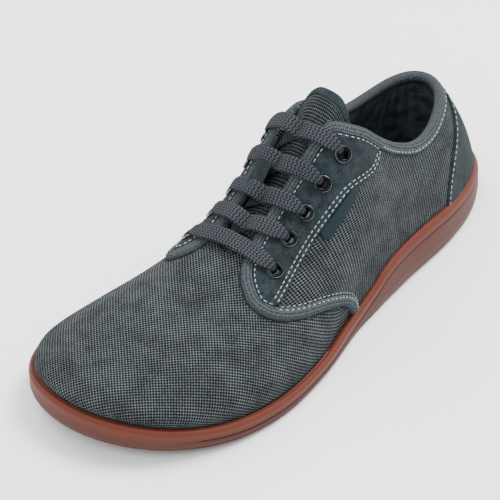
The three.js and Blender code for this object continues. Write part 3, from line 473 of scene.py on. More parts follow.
class Marks:
    """Signed distances on the skin to the lines that bound its pieces, positive inside them."""

    reach = 16.0
    corner_round = 6.0

    def __init__(self, skin: Skin) -> None:
        """Measures every line on a skin."""
        self.skin = skin
        x, y, z = skin.point.T
        seen, above = np.stack([x, z], -1), np.stack([x, y], -1)
        every = np.ones(len(x), bool)
        collar = side_line(COLLAR)
        region = np.vstack([collar, [(collar[-1, 0], FAR), (-FAR, FAR), (-FAR, collar[0, 1])]])
        self.collar = self.distance(seen, [collar], ~inside(region, x, z), every)
        lines = {side: plan_line(FACING_EDGE[1:], side) for side in Side}
        flank = x < lines[Side.LATERAL][0, 0]
        for side, line in lines.items():
            far = side.value * FAR
            flank |= inside(np.vstack([line, [(line[-1, 0], far), (-FAR, far), (-FAR, line[0, 1])]]), x, y)
        self.facing = self.distance(above, list(lines.values()), flank, every)
        throat = self.throat_outline(lines)
        self.throat = self.distance(above, [throat], ~inside(throat, x, y), z > 40)
        wing = side_line(QUARTER_EDGE)
        region = np.vstack([wing, [(wing[-1, 0], FAR), (-FAR, FAR), (-FAR, -FAR), (wing[0, 0], -FAR)]])
        self.wing = self.distance(seen, [wing], inside(region, x, z), every)
        eyestay = [plan_line(EYESTAY_EDGE, side) for side in Side]
        ring = np.vstack([eyestay[0], eyestay[1][::-1]])
        self.eyestay = self.distance(above, [np.vstack([ring, ring[:1]])], inside(ring, x, y), z > 30)
        counter = side_line(COUNTER_EDGE)
        region = np.vstack([counter, [(-FAR, counter[-1, 1]), (-FAR, -50), (counter[0, 0], -50)]])
        self.counter = self.distance(seen, [counter], inside(region, x, z), every)
        label = np.array(LABEL_CORNERS + LABEL_CORNERS[:1]) * (LAST_LENGTH, CROWN_HEIGHT)
        lateral = y > THROAT_MIDDLE
        self.label = self.distance(seen, [label], inside(label, x, z) & lateral, lateral)
        self.quarter = corner(corner(self.facing, self.wing, 5.0), self.collar, self.corner_round)

    @staticmethod
    def throat_outline(lines: dict[Side, Array]) -> Array:
        """The throat's outline seen from above, closed by a round end over the vamp."""
        end = THROAT_END * LAST_LENGTH
        kept = {side: line[line[:, 0] < end] for side, line in lines.items()}
        left, right = kept[Side.LATERAL][-1], kept[Side.MEDIAL][-1]
        angle = np.linspace(0.15, np.pi - 0.15, 13)
        middle, half = (left[1] + right[1]) / 2, (left[1] - right[1]) / 2
        arc = np.stack([end + half * np.sin(angle), middle + half * np.cos(angle)], -1)
        back = [(60.0, right[1]), (60.0, left[1])]
        ring = np.vstack([kept[Side.LATERAL], arc, kept[Side.MEDIAL][::-1], back])
        return np.vstack([ring, ring[:1]])

    def distance(self, flat: Array, lines: list[Array], within: Array, valid: Array) -> Array:
        """Signed distance over the skin to the border of a region.

        Args:
            flat: the grid's points in the view that the lines are drawn in.
            lines: the region's border there.
            within: whether each point is in the region.
            valid: whether each point can be near the border.

        Returns:
            Millimetres to the border on the skin, positive in the region.
        """
        starts = np.vstack([line[:-1] for line in lines])
        ends = np.vstack([line[1:] for line in lines])
        quads = self.skin.quads
        mixed = within[quads].any(1) & ~within[quads].all(1) & valid[quads].all(1)
        used = np.unique(quads[mixed])
        level = np.full(len(flat), self.reach)
        level[used] = to_segments(flat[used], starts, ends)
        level *= np.where(within, 1, -1)
        first, last = [], []
        for quad in quads[mixed].tolist():
            found = []
            for a, b in zip(quad, quad[1:] + quad[:1]):
                if within[a] != within[b]:
                    share = level[a] / (level[a] - level[b])
                    found.append(self.skin.point[a] * (1 - share) + self.skin.point[b] * share)
            if len(found) == 2:
                first.append(found[0])
                last.append(found[1])
        border = np.array(first)
        close = np.all(self.skin.point > border.min(0) - self.reach, axis=1)
        close &= np.all(self.skin.point < border.max(0) + self.reach, axis=1)
        best = np.full(len(flat), self.reach)
        best[close] = to_segments(self.skin.point[close], border, np.array(last))
        return np.where(within, 1, -1) * np.minimum(best, self.reach)


@dataclass
class Patch:
    """A part of the skin that can be cut along signed distances and thickened."""

    point: Array
    out: Array
    cloth: Array
    value: dict[str, Array]
    faces: list[tuple[int, ...]]
    snap: float = 0.12

    @classmethod
    def of(cls, skin: Skin, **value: Array) -> Patch:
        """The whole skin with named distances."""
        return cls(skin.point, skin.out, skin.cloth, dict(value), list(skin.faces))

    def cut(self, name: str, *levels: float) -> Patch:
        """Cuts the faces along lines on which a distance has given values."""
        for level in levels:
            self.cut_once(name, level)
        return self

    def cut_once(self, name: str, level: float) -> None:
        """Cuts the faces along one line."""
        value = self.value[name] - level
        value[np.abs(value) < self.snap] = 0.0
        self.value[name] = value + level
        sign = np.sign(value).astype(int)
        widest = max(map(len, self.faces))
        padded = np.array([face + (face[-1],) * (widest - len(face)) for face in self.faces])
        crossed = (sign[padded].min(1) < 0) & (sign[padded].max(1) > 0)
        made: dict[tuple[int, int], int] = {}
        faces = []
        for face, split in zip(self.faces, crossed):
            if not split:
                faces.append(face)
                continue
            ring: list[tuple[int, int]] = []
            for a, b in zip(face, face[1:] + face[:1]):
                ring.append((a, sign[a]))
                if sign[a] * sign[b] < 0:
                    key = (min(a, b), max(a, b))
                    ring.append((made.setdefault(key, len(value) + len(made)), 0))
            parts = [tuple(k for k, s in ring if s * way >= 0) for way in (1, -1)]
            faces += [part for part in parts if len(part) > 2]
        self.faces = faces
        if made:
            self.insert(np.array(list(made)), value)
            self.value[name][len(value):] = level

    def insert(self, pairs: Array, value: Array) -> None:
        """Adds the points at which edges cross a line."""
        a, b = pairs.T
        share = (value[a] / (value[a] - value[b]))[:, None]
        self.point = np.vstack([self.point, self.point[a] * (1 - share) + self.point[b] * share])
        self.out = np.vstack([self.out, unit(self.out[a] * (1 - share) + self.out[b] * share)])
        self.cloth = np.vstack([self.cloth, self.cloth[a] * (1 - share) + self.cloth[b] * share])
        part = share[:, 0]
        for name, old in self.value.items():
            self.value[name] = np.concatenate([old, old[a] * (1 - part) + old[b] * part])

    def middle(self, name: str) -> Array:
        """The mean of a distance over each face."""
        sizes = np.array([len(face) for face in self.faces])
        flat = self.value[name][np.fromiter((k for face in self.faces for k in face), int)]
        return np.add.reduceat(flat, np.concatenate([[0], np.cumsum(sizes)[:-1]])) / sizes

    def keep(self, name: str, low: float = -math.inf, high: float = math.inf) -> Patch:
        """Keeps the faces on which a distance is between two values."""
        middle = self.middle(name)
        self.faces = [face for face, m in zip(self.faces, middle) if low < m < high]
        return self

    def chains(self, name: str, level: float) -> list[Array]:
        """The lines of points on which a distance has a value, each in order."""
        on = np.abs(self.value[name] - level) < 1e-6
        near: dict[int, list[int]] = {}
        for face in self.faces:
            for a, b in zip(face, face[1:] + face[:1]):
                if on[a] and on[b] and b not in near.get(a, []):
                    near.setdefault(a, []).append(b)
                    near.setdefault(b, []).append(a)
        left = {a for a, others in near.items() if len(others) == 1}
        chains, done = [], set()
        for start in [*sorted(left), *sorted(near)]:
            if start in done:
                continue
            chain = [start]
            done.add(start)
            while True:
                following = [k for k in near[chain[-1]] if k not in done]
                if not following:
                    break
                chain.append(following[0])
                done.add(following[0])
            if len(chain) > 3:
                closed = chain[0] in near[chain[-1]] and len(chain) > 6
                chains.append(np.array(chain + chain[:1] if closed else chain))
        return chains


@dataclass
class Shell:
    """Points, faces, cloth coordinates and finish numbers of a mesh, in the last's millimetres."""

    points: Array
    faces: list[tuple[int, ...]]
    cloth: Array
    finish: list[int]
    tint: Array

    def joined(self, other: Shell) -> Shell:
        """This mesh and another as one."""
        shift = len(self.points)
        moved = [tuple(k + shift for k in face) for face in other.faces]
        return Shell(
            np.vstack([self.points, other.points]),
            self.faces + moved,
            np.vstack([self.cloth, other.cloth]),
            self.finish + other.finish,
            np.concatenate([self.tint, other.tint]),
        )


def shell(points: Array, faces: list[tuple[int, ...]], cloth: Array | None = None, finish: int = 0,
          tint: Array | None = None) -> Shell:
    """A mesh with one finish all over."""
    cloth = points[:, :2] if cloth is None else cloth
    tint = np.zeros(len(points)) if tint is None else tint
    return Shell(points, faces, cloth, [finish] * len(faces), tint)


def thick(patch: Patch, outer: Array, inner: Array, under: int = 0, over: Array | None = None) -> Shell:
    """A closed sheet over a patch.

    Args:
        patch: the part of the skin that it lies on.
        outer: how far its outer face stands off the skin at each point.
        inner: the same for its inner face.
        under: the finish number of the inner face.
        over: the finish number of each outer face.

    Returns:
        The sheet's mesh.
    """
    used = np.unique(np.fromiter((k for face in patch.faces for k in face), int))
    new = np.zeros(len(patch.point), int)
    new[used] = np.arange(len(used))
    count = len(used)
    top = [tuple(new[list(face)].tolist()) for face in patch.faces]
    edges = {(a, b) for face in top for a, b in zip(face, face[1:] + face[:1])}
    rim = [(a, b) for a, b in edges if (b, a) not in edges]
    below = [tuple(k + count for k in reversed(face)) for face in top]
    walls = [(b, a, a + count, b + count) for a, b in rim]
    base, out = patch.point[used], patch.out[used]
    points = np.vstack([base + out * outer[used][:, None], base + out * inner[used][:, None]])
    finish = [0] * len(top) if over is None else over.tolist()
    finish = finish + [under] * len(below) + [0] * len(walls)
    cloth = np.tile(patch.cloth[used], (2, 1))
    return Shell(points, top + below + walls, cloth, finish, np.zeros(2 * count))


def smoothed(line: Array, rounds: int = 4) -> Array:
    """A line with its small kinks taken out, its ends kept, or closed where it is closed."""
    closed = np.allclose(line[0], line[-1])
    for _ in range(rounds):
        middle = line[1:-1] / 2 + (line[:-2] + line[2:]) / 4
        ends = [line[0], line[-1]]
        if closed:
            ends = [line[0] / 2 + (line[1] + line[-2]) / 4] * 2
        line = np.vstack([ends[0], middle, ends[1]])
    return line


def spaced(line: Array, pitch: float) -> Array:
    """Points at equal steps along a line, close to a pitch."""
    run = np.concatenate([[0], np.cumsum(np.linalg.norm(np.diff(line, axis=0), axis=1))])
    count = max(2, round(run[-1] / pitch) + 1)
    at = np.linspace(0, run[-1], count)
    return np.stack([np.interp(at, run, column) for column in line.T], -1)


def tangents(line: Array) -> Array:
    """The way along a line at each of its points."""
    return unit(np.gradient(line, axis=0))


def swept(rings: Array, cloth: Array, closed: bool = False, finish: int = 0) -> Shell:
    """A tube through rings of points, with flat ends unless it is closed.

    Args:
        rings: the rings, each a closed loop of as many points.
        cloth: cloth coordinates of each point.
        closed: whether the last ring joins the first.
        finish: its finish number.

    Returns:
        The tube's mesh.
    """
    count, sides = rings.shape[:2]
    faces = hoops(count, sides, closed)
    if not closed:
        faces += [tuple(range(sides))[::-1], tuple(range((count - 1) * sides, count * sides))]
    made = shell(rings.reshape(-1, 3), faces, cloth.reshape(-1, 2), finish)
    return facing_out(made)


def oblong(sides: int, wide: float, high: float) -> tuple[Array, Array]:
    """A ring one across and one high, the boxier the smaller its two exponents are."""
    angle = np.arange(sides) * 2 * np.pi / sides
    c, s = np.cos(angle), np.sin(angle)
    return np.sign(c) * np.abs(c) ** wide / 2, np.sign(s) * np.abs(s) ** high / 2


def facing_out(made: Shell) -> Shell:
    """The mesh with its faces turned outwards."""
    volume = 0.0
    for face in made.faces:
        p = made.points[list(face)]
        for k in range(1, len(face) - 1):
            volume += float(np.dot(p[0], np.cross(p[k], p[k + 1])))
    if volume < 0:
        made.faces = [face[::-1] for face in made.faces]
    return made


def to_frame(points: Array) -> Array:
    """Points of the last in metres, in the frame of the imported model."""
    return (points - ORIGIN) * MM


def piece(name: str, made: Shell, finishes: Sequence[bpy.types.Material],
          nodes: Sequence[str] = ()) -> bpy.types.Object:
    """Makes a Blender object of a mesh and ties it to the frame.

    Args:
        name: the object's name.
        made: its mesh.
        finishes: its materials, in the order of the finish numbers.
        nodes: the CAD nodes that it stands for.

    Returns:
        The object.
    """
    mesh = bpy.data.meshes.new(f"{name}_visual")
    mesh.from_pydata(to_frame(made.points).tolist(), [], made.faces)
    cloth = mesh.attributes.new("cloth", "FLOAT_VECTOR", "POINT")
    cloth.data.foreach_set("vector", np.column_stack([made.cloth, np.zeros(len(made.cloth))]).ravel())
    tint = mesh.attributes.new("tint", "FLOAT", "POINT")
    tint.data.foreach_set("value", made.tint.astype(float))
    for material in finishes:
        mesh.materials.append(material)
    mesh.polygons.foreach_set("material_index", made.finish)
    mesh.shade_smooth()
    mesh.update()
    thing = bpy.data.objects.new(mesh.name, mesh)
    bpy.context.collection.objects.link(thing)
    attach(thing, "root")
    if nodes:
        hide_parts(*nodes)
    log.info("%s: %d faces", name, len(made.faces))
    return thing


def linear(colour: str) -> tuple[float, float, float, float]:
    """An sRGB hex colour as linear light."""
    parts = [int(colour[k:k + 2], 16) / 255 for k in (1, 3, 5)]
    light = [c / 12.92 if c <= 0.04045 else ((c + 0.055) / 1.055) ** 2.4 for c in parts]
    return (*light, 1.0)


def add(tree: bpy.types.NodeTree, kind: str, inputs: dict[str | int, Any] | None = None,
        **settings: Any) -> bpy.types.Node:
    """Adds a node to a tree.

    Args:
        tree: the material's nodes.
        kind: the node's type.
        inputs: values for its sockets, or the sockets that feed them.
        settings: its other properties.

    Returns:
        The node.
    """
    node = tree.nodes.new(kind)
    for name, value in settings.items():
        setattr(node, name, value)
    for key, value in (inputs or {}).items():
        if isinstance(value, bpy.types.NodeSocket):
            tree.links.new(value, node.inputs[key])
        else:
            node.inputs[key].default_value = value
    return node


@dataclass(frozen=True)
class Finish:
    """What every finish has: a name, a roughness, and a shader to be dressed."""

    name: str
    roughness: float = 0.9
    metallic: float = 0.0
    sheen: float = 0.0
    specular: float = 0.5

    def material(self) -> bpy.types.Material:
        """Makes the material."""
        made = bpy.data.materials.new(self.name)
        made.use_nodes = True
        tree = made.node_tree
        shader = tree.nodes["Principled BSDF"]
        shader.inputs["Roughness"].default_value = self.roughness
        shader.inputs["Metallic"].default_value = self.metallic
        shader.inputs["Specular IOR Level"].default_value = self.specular
        shader.inputs["Sheen Weight"].default_value = self.sheen
        shader.inputs["Sheen Roughness"].default_value = 0.6
        colour, normal = self.dress(tree)
        if isinstance(colour, bpy.types.NodeSocket):
            tree.links.new(colour, shader.inputs["Base Color"])
        else:
            shader.inputs["Base Color"].default_value = colour
        if normal is not None:
            tree.links.new(normal, shader.inputs["Normal"])
        return made

    def dress(self, tree: bpy.types.NodeTree) -> tuple[Any, Any]:
        """The colour and the bumped normal of the finish."""
        raise NotImplementedError

    @staticmethod
    def cloth(tree: bpy.types.NodeTree, pitch: tuple[float, float], turn: float = 0.0) -> Any:
        """Cloth coordinates turned by degrees and counted in threads of a pitch."""
        source = add(tree, "ShaderNodeAttribute", attribute_name="cloth").outputs["Vector"]
        turned = add(tree, "ShaderNodeVectorRotate", {"Vector": source, "Angle": math.radians(turn)},
                     rotation_type="Z_AXIS").outputs[0]
        scale = (1 / pitch[0], 1 / pitch[1], 1.0)
        return add(tree, "ShaderNodeVectorMath", {0: turned, 1: scale}, operation="MULTIPLY").outputs[0]

    @staticmethod
    def place(tree: bpy.types.NodeTree) -> Any:
        """The point on the object in metres."""
        return add(tree, "ShaderNodeTexCoord").outputs["Object"]

    @staticmethod
    def ramp(tree: bpy.types.NodeTree, value: Any, low: float, high: float) -> Any:
        """A value between two limits as a share from 0 to 1, smooth at both ends."""
        inputs = {"Value": value, "From Min": low, "From Max": high}
        return add(tree, "ShaderNodeMapRange", inputs, interpolation_type="SMOOTHSTEP").outputs[0]

    @staticmethod
    def mixed(tree: bpy.types.NodeTree, share: Any, low: Any, high: Any) -> Any:
        """A colour between two colours."""
        inputs = {"Factor": share, 6: low, 7: high}
        return add(tree, "ShaderNodeMix", inputs, data_type="RGBA").outputs[2]

    @staticmethod
    def grain(tree: bpy.types.NodeTree, where: Any, size: float, detail: float = 2.0) -> Any:
        """Noise with grains of a size in millimetres on the object."""
        inputs = {"Vector": where, "Scale": 1 / (size * MM), "Detail": detail}
        return add(tree, "ShaderNodeTexNoise", inputs).outputs["Fac"]

    @staticmethod
    def bump(tree: bpy.types.NodeTree, height: Any, depth: float, strength: float = 1.0,
             under: Any = None) -> Any:
        """A normal bumped by a height that stands for a depth in millimetres."""
        inputs = {"Height": height, "Distance": depth * MM, "Strength": strength}
        if under is not None:
            inputs["Normal"] = under
        return add(tree, "ShaderNodeBump", inputs).outputs[0]


@dataclass(frozen=True)
class KnitMesh(Finish):
    """Polyester air mesh, warp-knitted: pale threads round small holes painted near-black as painted shade.
    """

    thread: str = "#5a6063"
    # Near-black painted shade inside the holes.
    hole: str = "#030405"
    shade: str = "#33383a"
    # The real cells are about 1.1 mm. They are drawn coarser, so that they show at 500 pixels.
    pitch: tuple[float, float] = (1.35, 1.35)
    turn: float = 45.0
    hole_size: float = 0.4

    def dress(self, tree: bpy.types.NodeTree) -> tuple[Any, Any]:
        """Holes in a lattice painted dark as painted shade, each thread a low rib, with slow changes of
        tone.
        """
        threads = self.cloth(tree, self.pitch, self.turn)
        cell = add(tree, "ShaderNodeTexVoronoi", {"Vector": threads, "Scale": 1.0, "Randomness": 0.0})
        solid = self.ramp(tree, cell.outputs["Distance"], self.hole_size * 0.7, self.hole_size * 1.25)
        slow = self.ramp(tree, self.grain(tree, self.place(tree), 9.0), 0.1, 0.9)
        fuzz = self.grain(tree, self.place(tree), 0.6)
        tone = add(tree, "ShaderNodeMath", {0: slow, 1: 0.35, 2: fuzz}, operation="MULTIPLY_ADD")
        share = self.ramp(tree, tone.outputs[0], 0.4, 0.95)
        thread = self.mixed(tree, share, linear(self.shade), linear(self.thread))
        lifted = add(tree, "ShaderNodeMath", {0: fuzz, 1: 0.25, 2: solid}, operation="MULTIPLY_ADD")
        # Painted shade: the holes take the near-black tone where the bump sinks.
        colour = self.mixed(tree, solid, linear(self.hole), thread)
        return colour, self.bump(tree, lifted.outputs[0], 0.35)


@dataclass(frozen=True)
class Suede(Finish):
    """Split-leather suede, brushed: a short soft nap that goes light and dark by its lie."""

    light: str = "#2f393c"
    dark: str = "#0f1517"
    nap: float = 0.36
    lie: float = 5.0

    def dress(self, tree: bpy.types.NodeTree) -> tuple[Any, Any]:
        """Fine speckle of the nap over slow patches of its lie."""
        where = self.place(tree)
        nap = self.ramp(tree, self.grain(tree, where, self.nap), 0.36, 0.64)
        lie = self.ramp(tree, self.grain(tree, where, self.lie), 0.1, 0.9)
        both = add(tree, "ShaderNodeMath", {0: nap, 1: 0.9, 2: lie}, operation="MULTIPLY_ADD")
        share = self.ramp(tree, both.outputs[0], 0.1, 1.8)
        colour = self.mixed(tree, share, linear(self.dark), linear(self.light))
        return colour, self.bump(tree, nap, 0.12)


@dataclass(frozen=True)
class RibbedTape(Finish):
    """Polyester binding tape, rib-knitted: fine cords across its width."""

    light: str = "#535a5d"
    # Painted shade between the loops.
    dark: str = "#262b2e"
    rib: float = 0.8
    across: float = 0.8

    def dress(self, tree: bpy.types.NodeTree) -> tuple[Any, Any]:
        """Ribs over the tape with the loops of the knit along each, painted darker between the loops as
        painted shade.
        """
        threads = self.cloth(tree, (self.rib, self.across))
        cell = add(tree, "ShaderNodeTexVoronoi", {"Vector": threads, "Scale": 1.0, "Randomness": 0.25})
        raised = self.ramp(tree, cell.outputs["Distance"], 0.6, 0.15)
        # Painted shade: darker where the loops sink, with the same height as the bump.
        colour = self.mixed(tree, raised, linear(self.dark), linear(self.light))
        return colour, self.bump(tree, raised, 0.3)


@dataclass(frozen=True)
class FlatBraid(Finish):
    """Polyester flat braid: yarns that slant one way and the other in rows across the lace."""

    light: str = "#3d4146"
    # Near-black painted shade in the gaps between yarns and rows.
    dark: str = "#040506"
    # The real yarns are about 1.2 mm wide. They are drawn coarser, so that they show.
    yarn: float = 1.9
    row: float = 1.35
    slant: float = 0.75

    def dress(self, tree: bpy.types.NodeTree) -> tuple[Any, Any]:
        """Chevron yarns with a gap of near-black painted shade between each two."""
        source = add(tree, "ShaderNodeAttribute", attribute_name="cloth").outputs["Vector"]
        parts = add(tree, "ShaderNodeSeparateXYZ", {0: source})
        rows = {0: parts.outputs["Y"], 1: self.row}
        folded = add(tree, "ShaderNodeMath", rows, operation="PINGPONG").outputs[0]
        slanted = add(tree, "ShaderNodeMath", {0: folded, 1: self.slant, 2: parts.outputs["X"]},
                      operation="MULTIPLY_ADD").outputs[0]
        yarn = add(tree, "ShaderNodeMath", {0: slanted, 1: self.yarn / 2}, operation="PINGPONG").outputs[0]
        between = add(tree, "ShaderNodeMath", {0: folded, 1: self.row / 2}, operation="PINGPONG").outputs[0]
        worn = self.grain(tree, self.place(tree), 0.7)
        gap = add(tree, "ShaderNodeMath", {0: worn, 1: 0.35, 2: yarn}, operation="MULTIPLY_ADD").outputs[0]
        raised = self.ramp(tree, gap, 0.2, 0.62)
        rows = self.ramp(tree, between, -0.15, 0.35)
        height = add(tree, "ShaderNodeMath", {0: raised, 1: rows}, operation="MULTIPLY").outputs[0]
        # Painted shade: the colour goes dark where the yarns sink, with the same height as the bump.
        colour = self.mixed(tree, height, linear(self.dark), linear(self.light))
        return colour, self.bump(tree, height, 0.3)


@dataclass(frozen=True)
class WovenLabel(Finish):
    """Damask-woven polyester label: a dense satin with fine cross threads."""

    light: str = "#0c272e"
    # Painted shade between the threads.
    dark: str = "#061519"
    thread: float = 0.5

    def dress(self, tree: bpy.types.NodeTree) -> tuple[Any, Any]:
        """Fine threads across the label, painted darker between them as painted shade."""
        threads = self.cloth(tree, (self.thread, self.thread), 28.0)
        cell = add(tree, "ShaderNodeTexVoronoi", {"Vector": threads, "Scale": 1.0, "Randomness": 0.1})
        raised = self.ramp(tree, cell.outputs["Distance"], 0.6, 0.1)
        # Painted shade: darker where the threads sink, with the same height as the bump.
        colour = self.mixed(tree, raised, linear(self.dark), linear(self.light))
        return colour, self.bump(tree, raised, 0.1)


@dataclass(frozen=True)
class LiningCloth(Finish):
    """Brushed polyester lining over foam: dark, soft and even."""

    light: str = "#62686e"
    dark: str = "#3d4247"
    knit: float = 0.9

    def dress(self, tree: bpy.types.NodeTree) -> tuple[Any, Any]:
        """A faint knit under a soft nap."""
        where = self.place(tree)
        knit = self.grain(tree, where, self.knit)
        tone = self.ramp(tree, self.grain(tree, where, 7.0), 0.3, 0.7)
        colour = self.mixed(tree, tone, linear(self.dark), linear(self.light))
        return colour, self.bump(tree, knit, 0.15)


@dataclass(frozen=True)
class GumRubber(Finish):
    """Natural gum rubber, moulded: satin, warm brown, faintly uneven; lighter above the line as painted
    light, darker below it as painted shade, and the line itself near-black as painted shade.
    """

    # rim: the band above the moulded line, lightened as painted light; base: the upright band below it,
    # darkened as painted shade.
    rim: str = "#582617"
    base: str = "#4a251d"
    # line: near-black painted shade in the moulded grooves.
    line: str = "#1e0705"
    texture: float = 0.6

    def dress(self, tree: bpy.types.NodeTree) -> tuple[Any, Any]:
        """The rim's lighter tone above the moulded line as painted light, a darker one below it as painted
        shade, and painted shade in the line itself.
        """
        tint = add(tree, "ShaderNodeAttribute", attribute_name="tint").outputs["Fac"]
        where = self.place(tree)
        tone = self.grain(tree, where, 14.0)
        # Painted shade: below the moulded line the side takes the darker tone.
        lower = self.ramp(tree, tint, 0.1, 0.45)
        # Painted shade in the moulded grooves: near-black where a groove is marked strongly.
        deep = self.ramp(tree, tint, 0.55, 1.0)
        body = self.mixed(tree, lower, linear(self.rim), linear(self.base))
        value = self.ramp(tree, tone, -2.6, 0.8)
        uneven = add(tree, "ShaderNodeHueSaturation", {"Value": value, "Color": body})
        colour = self.mixed(tree, deep, uneven.outputs[0], linear(self.line))
        return colour, self.bump(tree, self.grain(tree, where, self.texture), 0.05)


@dataclass(frozen=True)
class SewingThread(Finish):
    """Bonded polyester sewing thread: pale, twisted, with a slight shine."""

    light: str = "#a6adad"
    dark: str = "#6c7476"
    twist: float = 0.55

    def dress(self, tree: bpy.types.NodeTree) -> tuple[Any, Any]:
        """A fine change of tone along the thread."""
        tone = self.ramp(tree, self.grain(tree, self.place(tree), self.twist), 0.3, 0.7)
        return self.mixed(tree, tone, linear(self.dark), linear(self.light)), None


@dataclass(frozen=True)
class LacqueredBrass(Finish):
    """Pressed brass eyelet, lacquered gunmetal: dark gloss, with a painted highlight as a bright ring on
    the rolled edge.
    """

    lacquer: str = "#1b1d1f"
    # Colour of the painted highlight on the rolled edge.
    worn: str = "#8d9295"

    def dress(self, tree: bpy.types.NodeTree) -> tuple[Any, Any]:
        """Dark lacquer with a painted highlight: a bright ring along the rolled edge, broken up by noise.
        """
        tint = add(tree, "ShaderNodeAttribute", attribute_name="tint").outputs["Fac"]
        highlight_noise = self.grain(tree, self.place(tree), 0.8)
        sum_of = add(tree, "ShaderNodeMath", {0: highlight_noise, 1: 0.3, 2: tint}, operation="MULTIPLY_ADD")
        share = self.ramp(tree, sum_of.outputs[0], 0.5, 1.0)
        return self.mixed(tree, share, linear(self.lacquer), linear(self.worn)), None


@dataclass(frozen=True)
class PaintedBoard(Finish):
    """Matt white board under the shoe."""

    colour: str = "#fbfbfb"

    def dress(self, tree: bpy.types.NodeTree) -> tuple[Any, Any]:
        """One pale tone."""
        return linear(self.colour), None


@dataclass
class Wardrobe:
    """The materials, each made once."""

    vamp: bpy.types.Material = field(init=False)
    quarter: bpy.types.Material = field(init=False)
    tongue: bpy.types.Material = field(init=False)
    lining: bpy.types.Material = field(init=False)
    suede: bpy.types.Material = field(init=False)
    tape: bpy.types.Material = field(init=False)
    lace: bpy.types.Material = field(init=False)
    label: bpy.types.Material = field(init=False)
    gum: bpy.types.Material = field(init=False)
    thread: bpy.types.Material = field(init=False)
    brass: bpy.types.Material = field(init=False)
    board: bpy.types.Material = field(init=False)

    def __post_init__(self) -> None:
        """Makes the materials."""
        self.vamp = KnitMesh("air_mesh_vamp", specular=0.12).material()
        # The quarters' mesh runs in dark wales along the shoe, so its cells are longer than wide.
        self.quarter = KnitMesh("air_mesh_quarter", specular=0.12, pitch=(1.8, 1.35), turn=4.0).material()
        self.tongue = KnitMesh("air_mesh_tongue", specular=0.12, pitch=(1.2, 1.2), turn=0.0).material()
        self.lining = LiningCloth("brushed_lining", specular=0.1).material()
        self.suede = Suede("brushed_suede", roughness=0.95, sheen=0.03, specular=0.08).material()
        self.tape = RibbedTape("rib_knit_tape", specular=0.12).material()
        self.lace = FlatBraid("flat_braid", specular=0.12).material()
        self.label = WovenLabel("damask_label", roughness=0.7, specular=0.25).material()
        self.gum = GumRubber("gum_rubber", roughness=0.6, specular=0.25).material()
        self.thread = SewingThread("sewing_thread", roughness=0.7, specular=0.2).material()
        self.brass = LacqueredBrass("lacquered_brass", roughness=0.28, metallic=1.0).material()
        self.board = PaintedBoard("painted_board", roughness=0.85).material()


@dataclass(frozen=True)
class Seat:
    """An eyelet's place on the overlay and the way out of it."""

    point: Array
    out: Array
    x: float
    half: float
    side: Side

    @classmethod
    def of(cls, index: int, side: Side) -> Seat:
        """The seat of one eyelet, counted from the top pair."""
        along, share = EYELETS[index]
        x, half = along * LAST_LENGTH, share * BALL_WIDTH
        point, out = on_last(np.array([x]), np.array([across_at(x, half, side)]), EYELET_SEAT)
        return cls(point[0], out[0], x, half, side)


@dataclass
class Shoe:
    """What every piece is built from: the skin, the lines on it, the eyelets' seats, the finishes."""

    skin: Skin = field(default_factory=Skin)
    marks: Marks = field(init=False)
    seats: dict[Side, list[Seat]] = field(init=False)
    wardrobe: Wardrobe = field(default_factory=Wardrobe)
    eyelet_hole: float = 2.75

    def __post_init__(self) -> None:
        """Measures the lines and finds the seats."""
        self.marks = Marks(self.skin)
        self.seats = {side: [Seat.of(k, side) for k in range(len(EYELETS))] for side in Side}
        log.info("skin, lines and seats are ready")

    def holes(self) -> Array:
        """Distance over the skin to the nearest eyelet hole, positive outside it."""
        best = np.full(len(self.skin.point), 50.0)
        for seat in (*self.seats[Side.LATERAL], *self.seats[Side.MEDIAL]):
            gap = self.skin.point - seat.point
            flat = gap - (gap @ seat.out)[:, None] * seat.out
            near = np.linalg.norm(gap, axis=1) < 15
            best[near] = np.minimum(best[near], np.linalg.norm(flat[near], axis=1))
        return best - self.eyelet_hole


@dataclass
class Upper:
    """The air mesh upper: vamp, quarters stepped over it, and the lining as their inner face."""

    wall: float = UPPER_WALL
    step: float = QUARTER_STEP
    edge: float = 1.2
    top_gap: float = 0.5
    fold: float = 0.7
    fold_pitch: float = 9.0
    lean: float = 0.6

    def build(self, shoe: Shoe) -> None:
        """Makes the upper."""
        body = np.minimum(shoe.marks.collar - self.top_gap, shoe.marks.throat)
        patch = Patch.of(shoe.skin, body=body, quarter=shoe.marks.quarter, hole=shoe.holes())
        patch.cut("body", 0.0).keep("body", 0.0)
        patch.cut("hole", 0.0).keep("hole", 0.0)
        patch.cut("quarter", 0.0, 0.3, 0.75, 1.2)
        outer = self.step * rounded(patch.value["quarter"], self.edge)
        over = (patch.middle("quarter") > 0).astype(int)
        finishes = (shoe.wardrobe.vamp, shoe.wardrobe.quarter, shoe.wardrobe.lining)
        flank = patch.value["quarter"] > -0.01
        x, y, z = patch.point[flank].T
        patch.cloth[flank] = np.stack([x, z - self.lean * np.abs(y - THROAT_MIDDLE)], -1)
        made = thick(patch, outer, -self.wall - self.folds(patch.point), 2, over)
        piece("upper", made, finishes, ["upper"])

    def folds(self, point: Array) -> Array:
        """Upright folds of the padded lining inside the heel."""
        around = np.arctan2(point[:, 1], point[:, 0] - 45) * 45
        heel = np.clip((95 - point[:, 0]) / 40, 0, 1) * np.clip((point[:, 2] - 20) / 25, 0, 1)
        return self.fold * heel * np.abs(np.sin(np.pi * around / self.fold_pitch)) ** 1.5


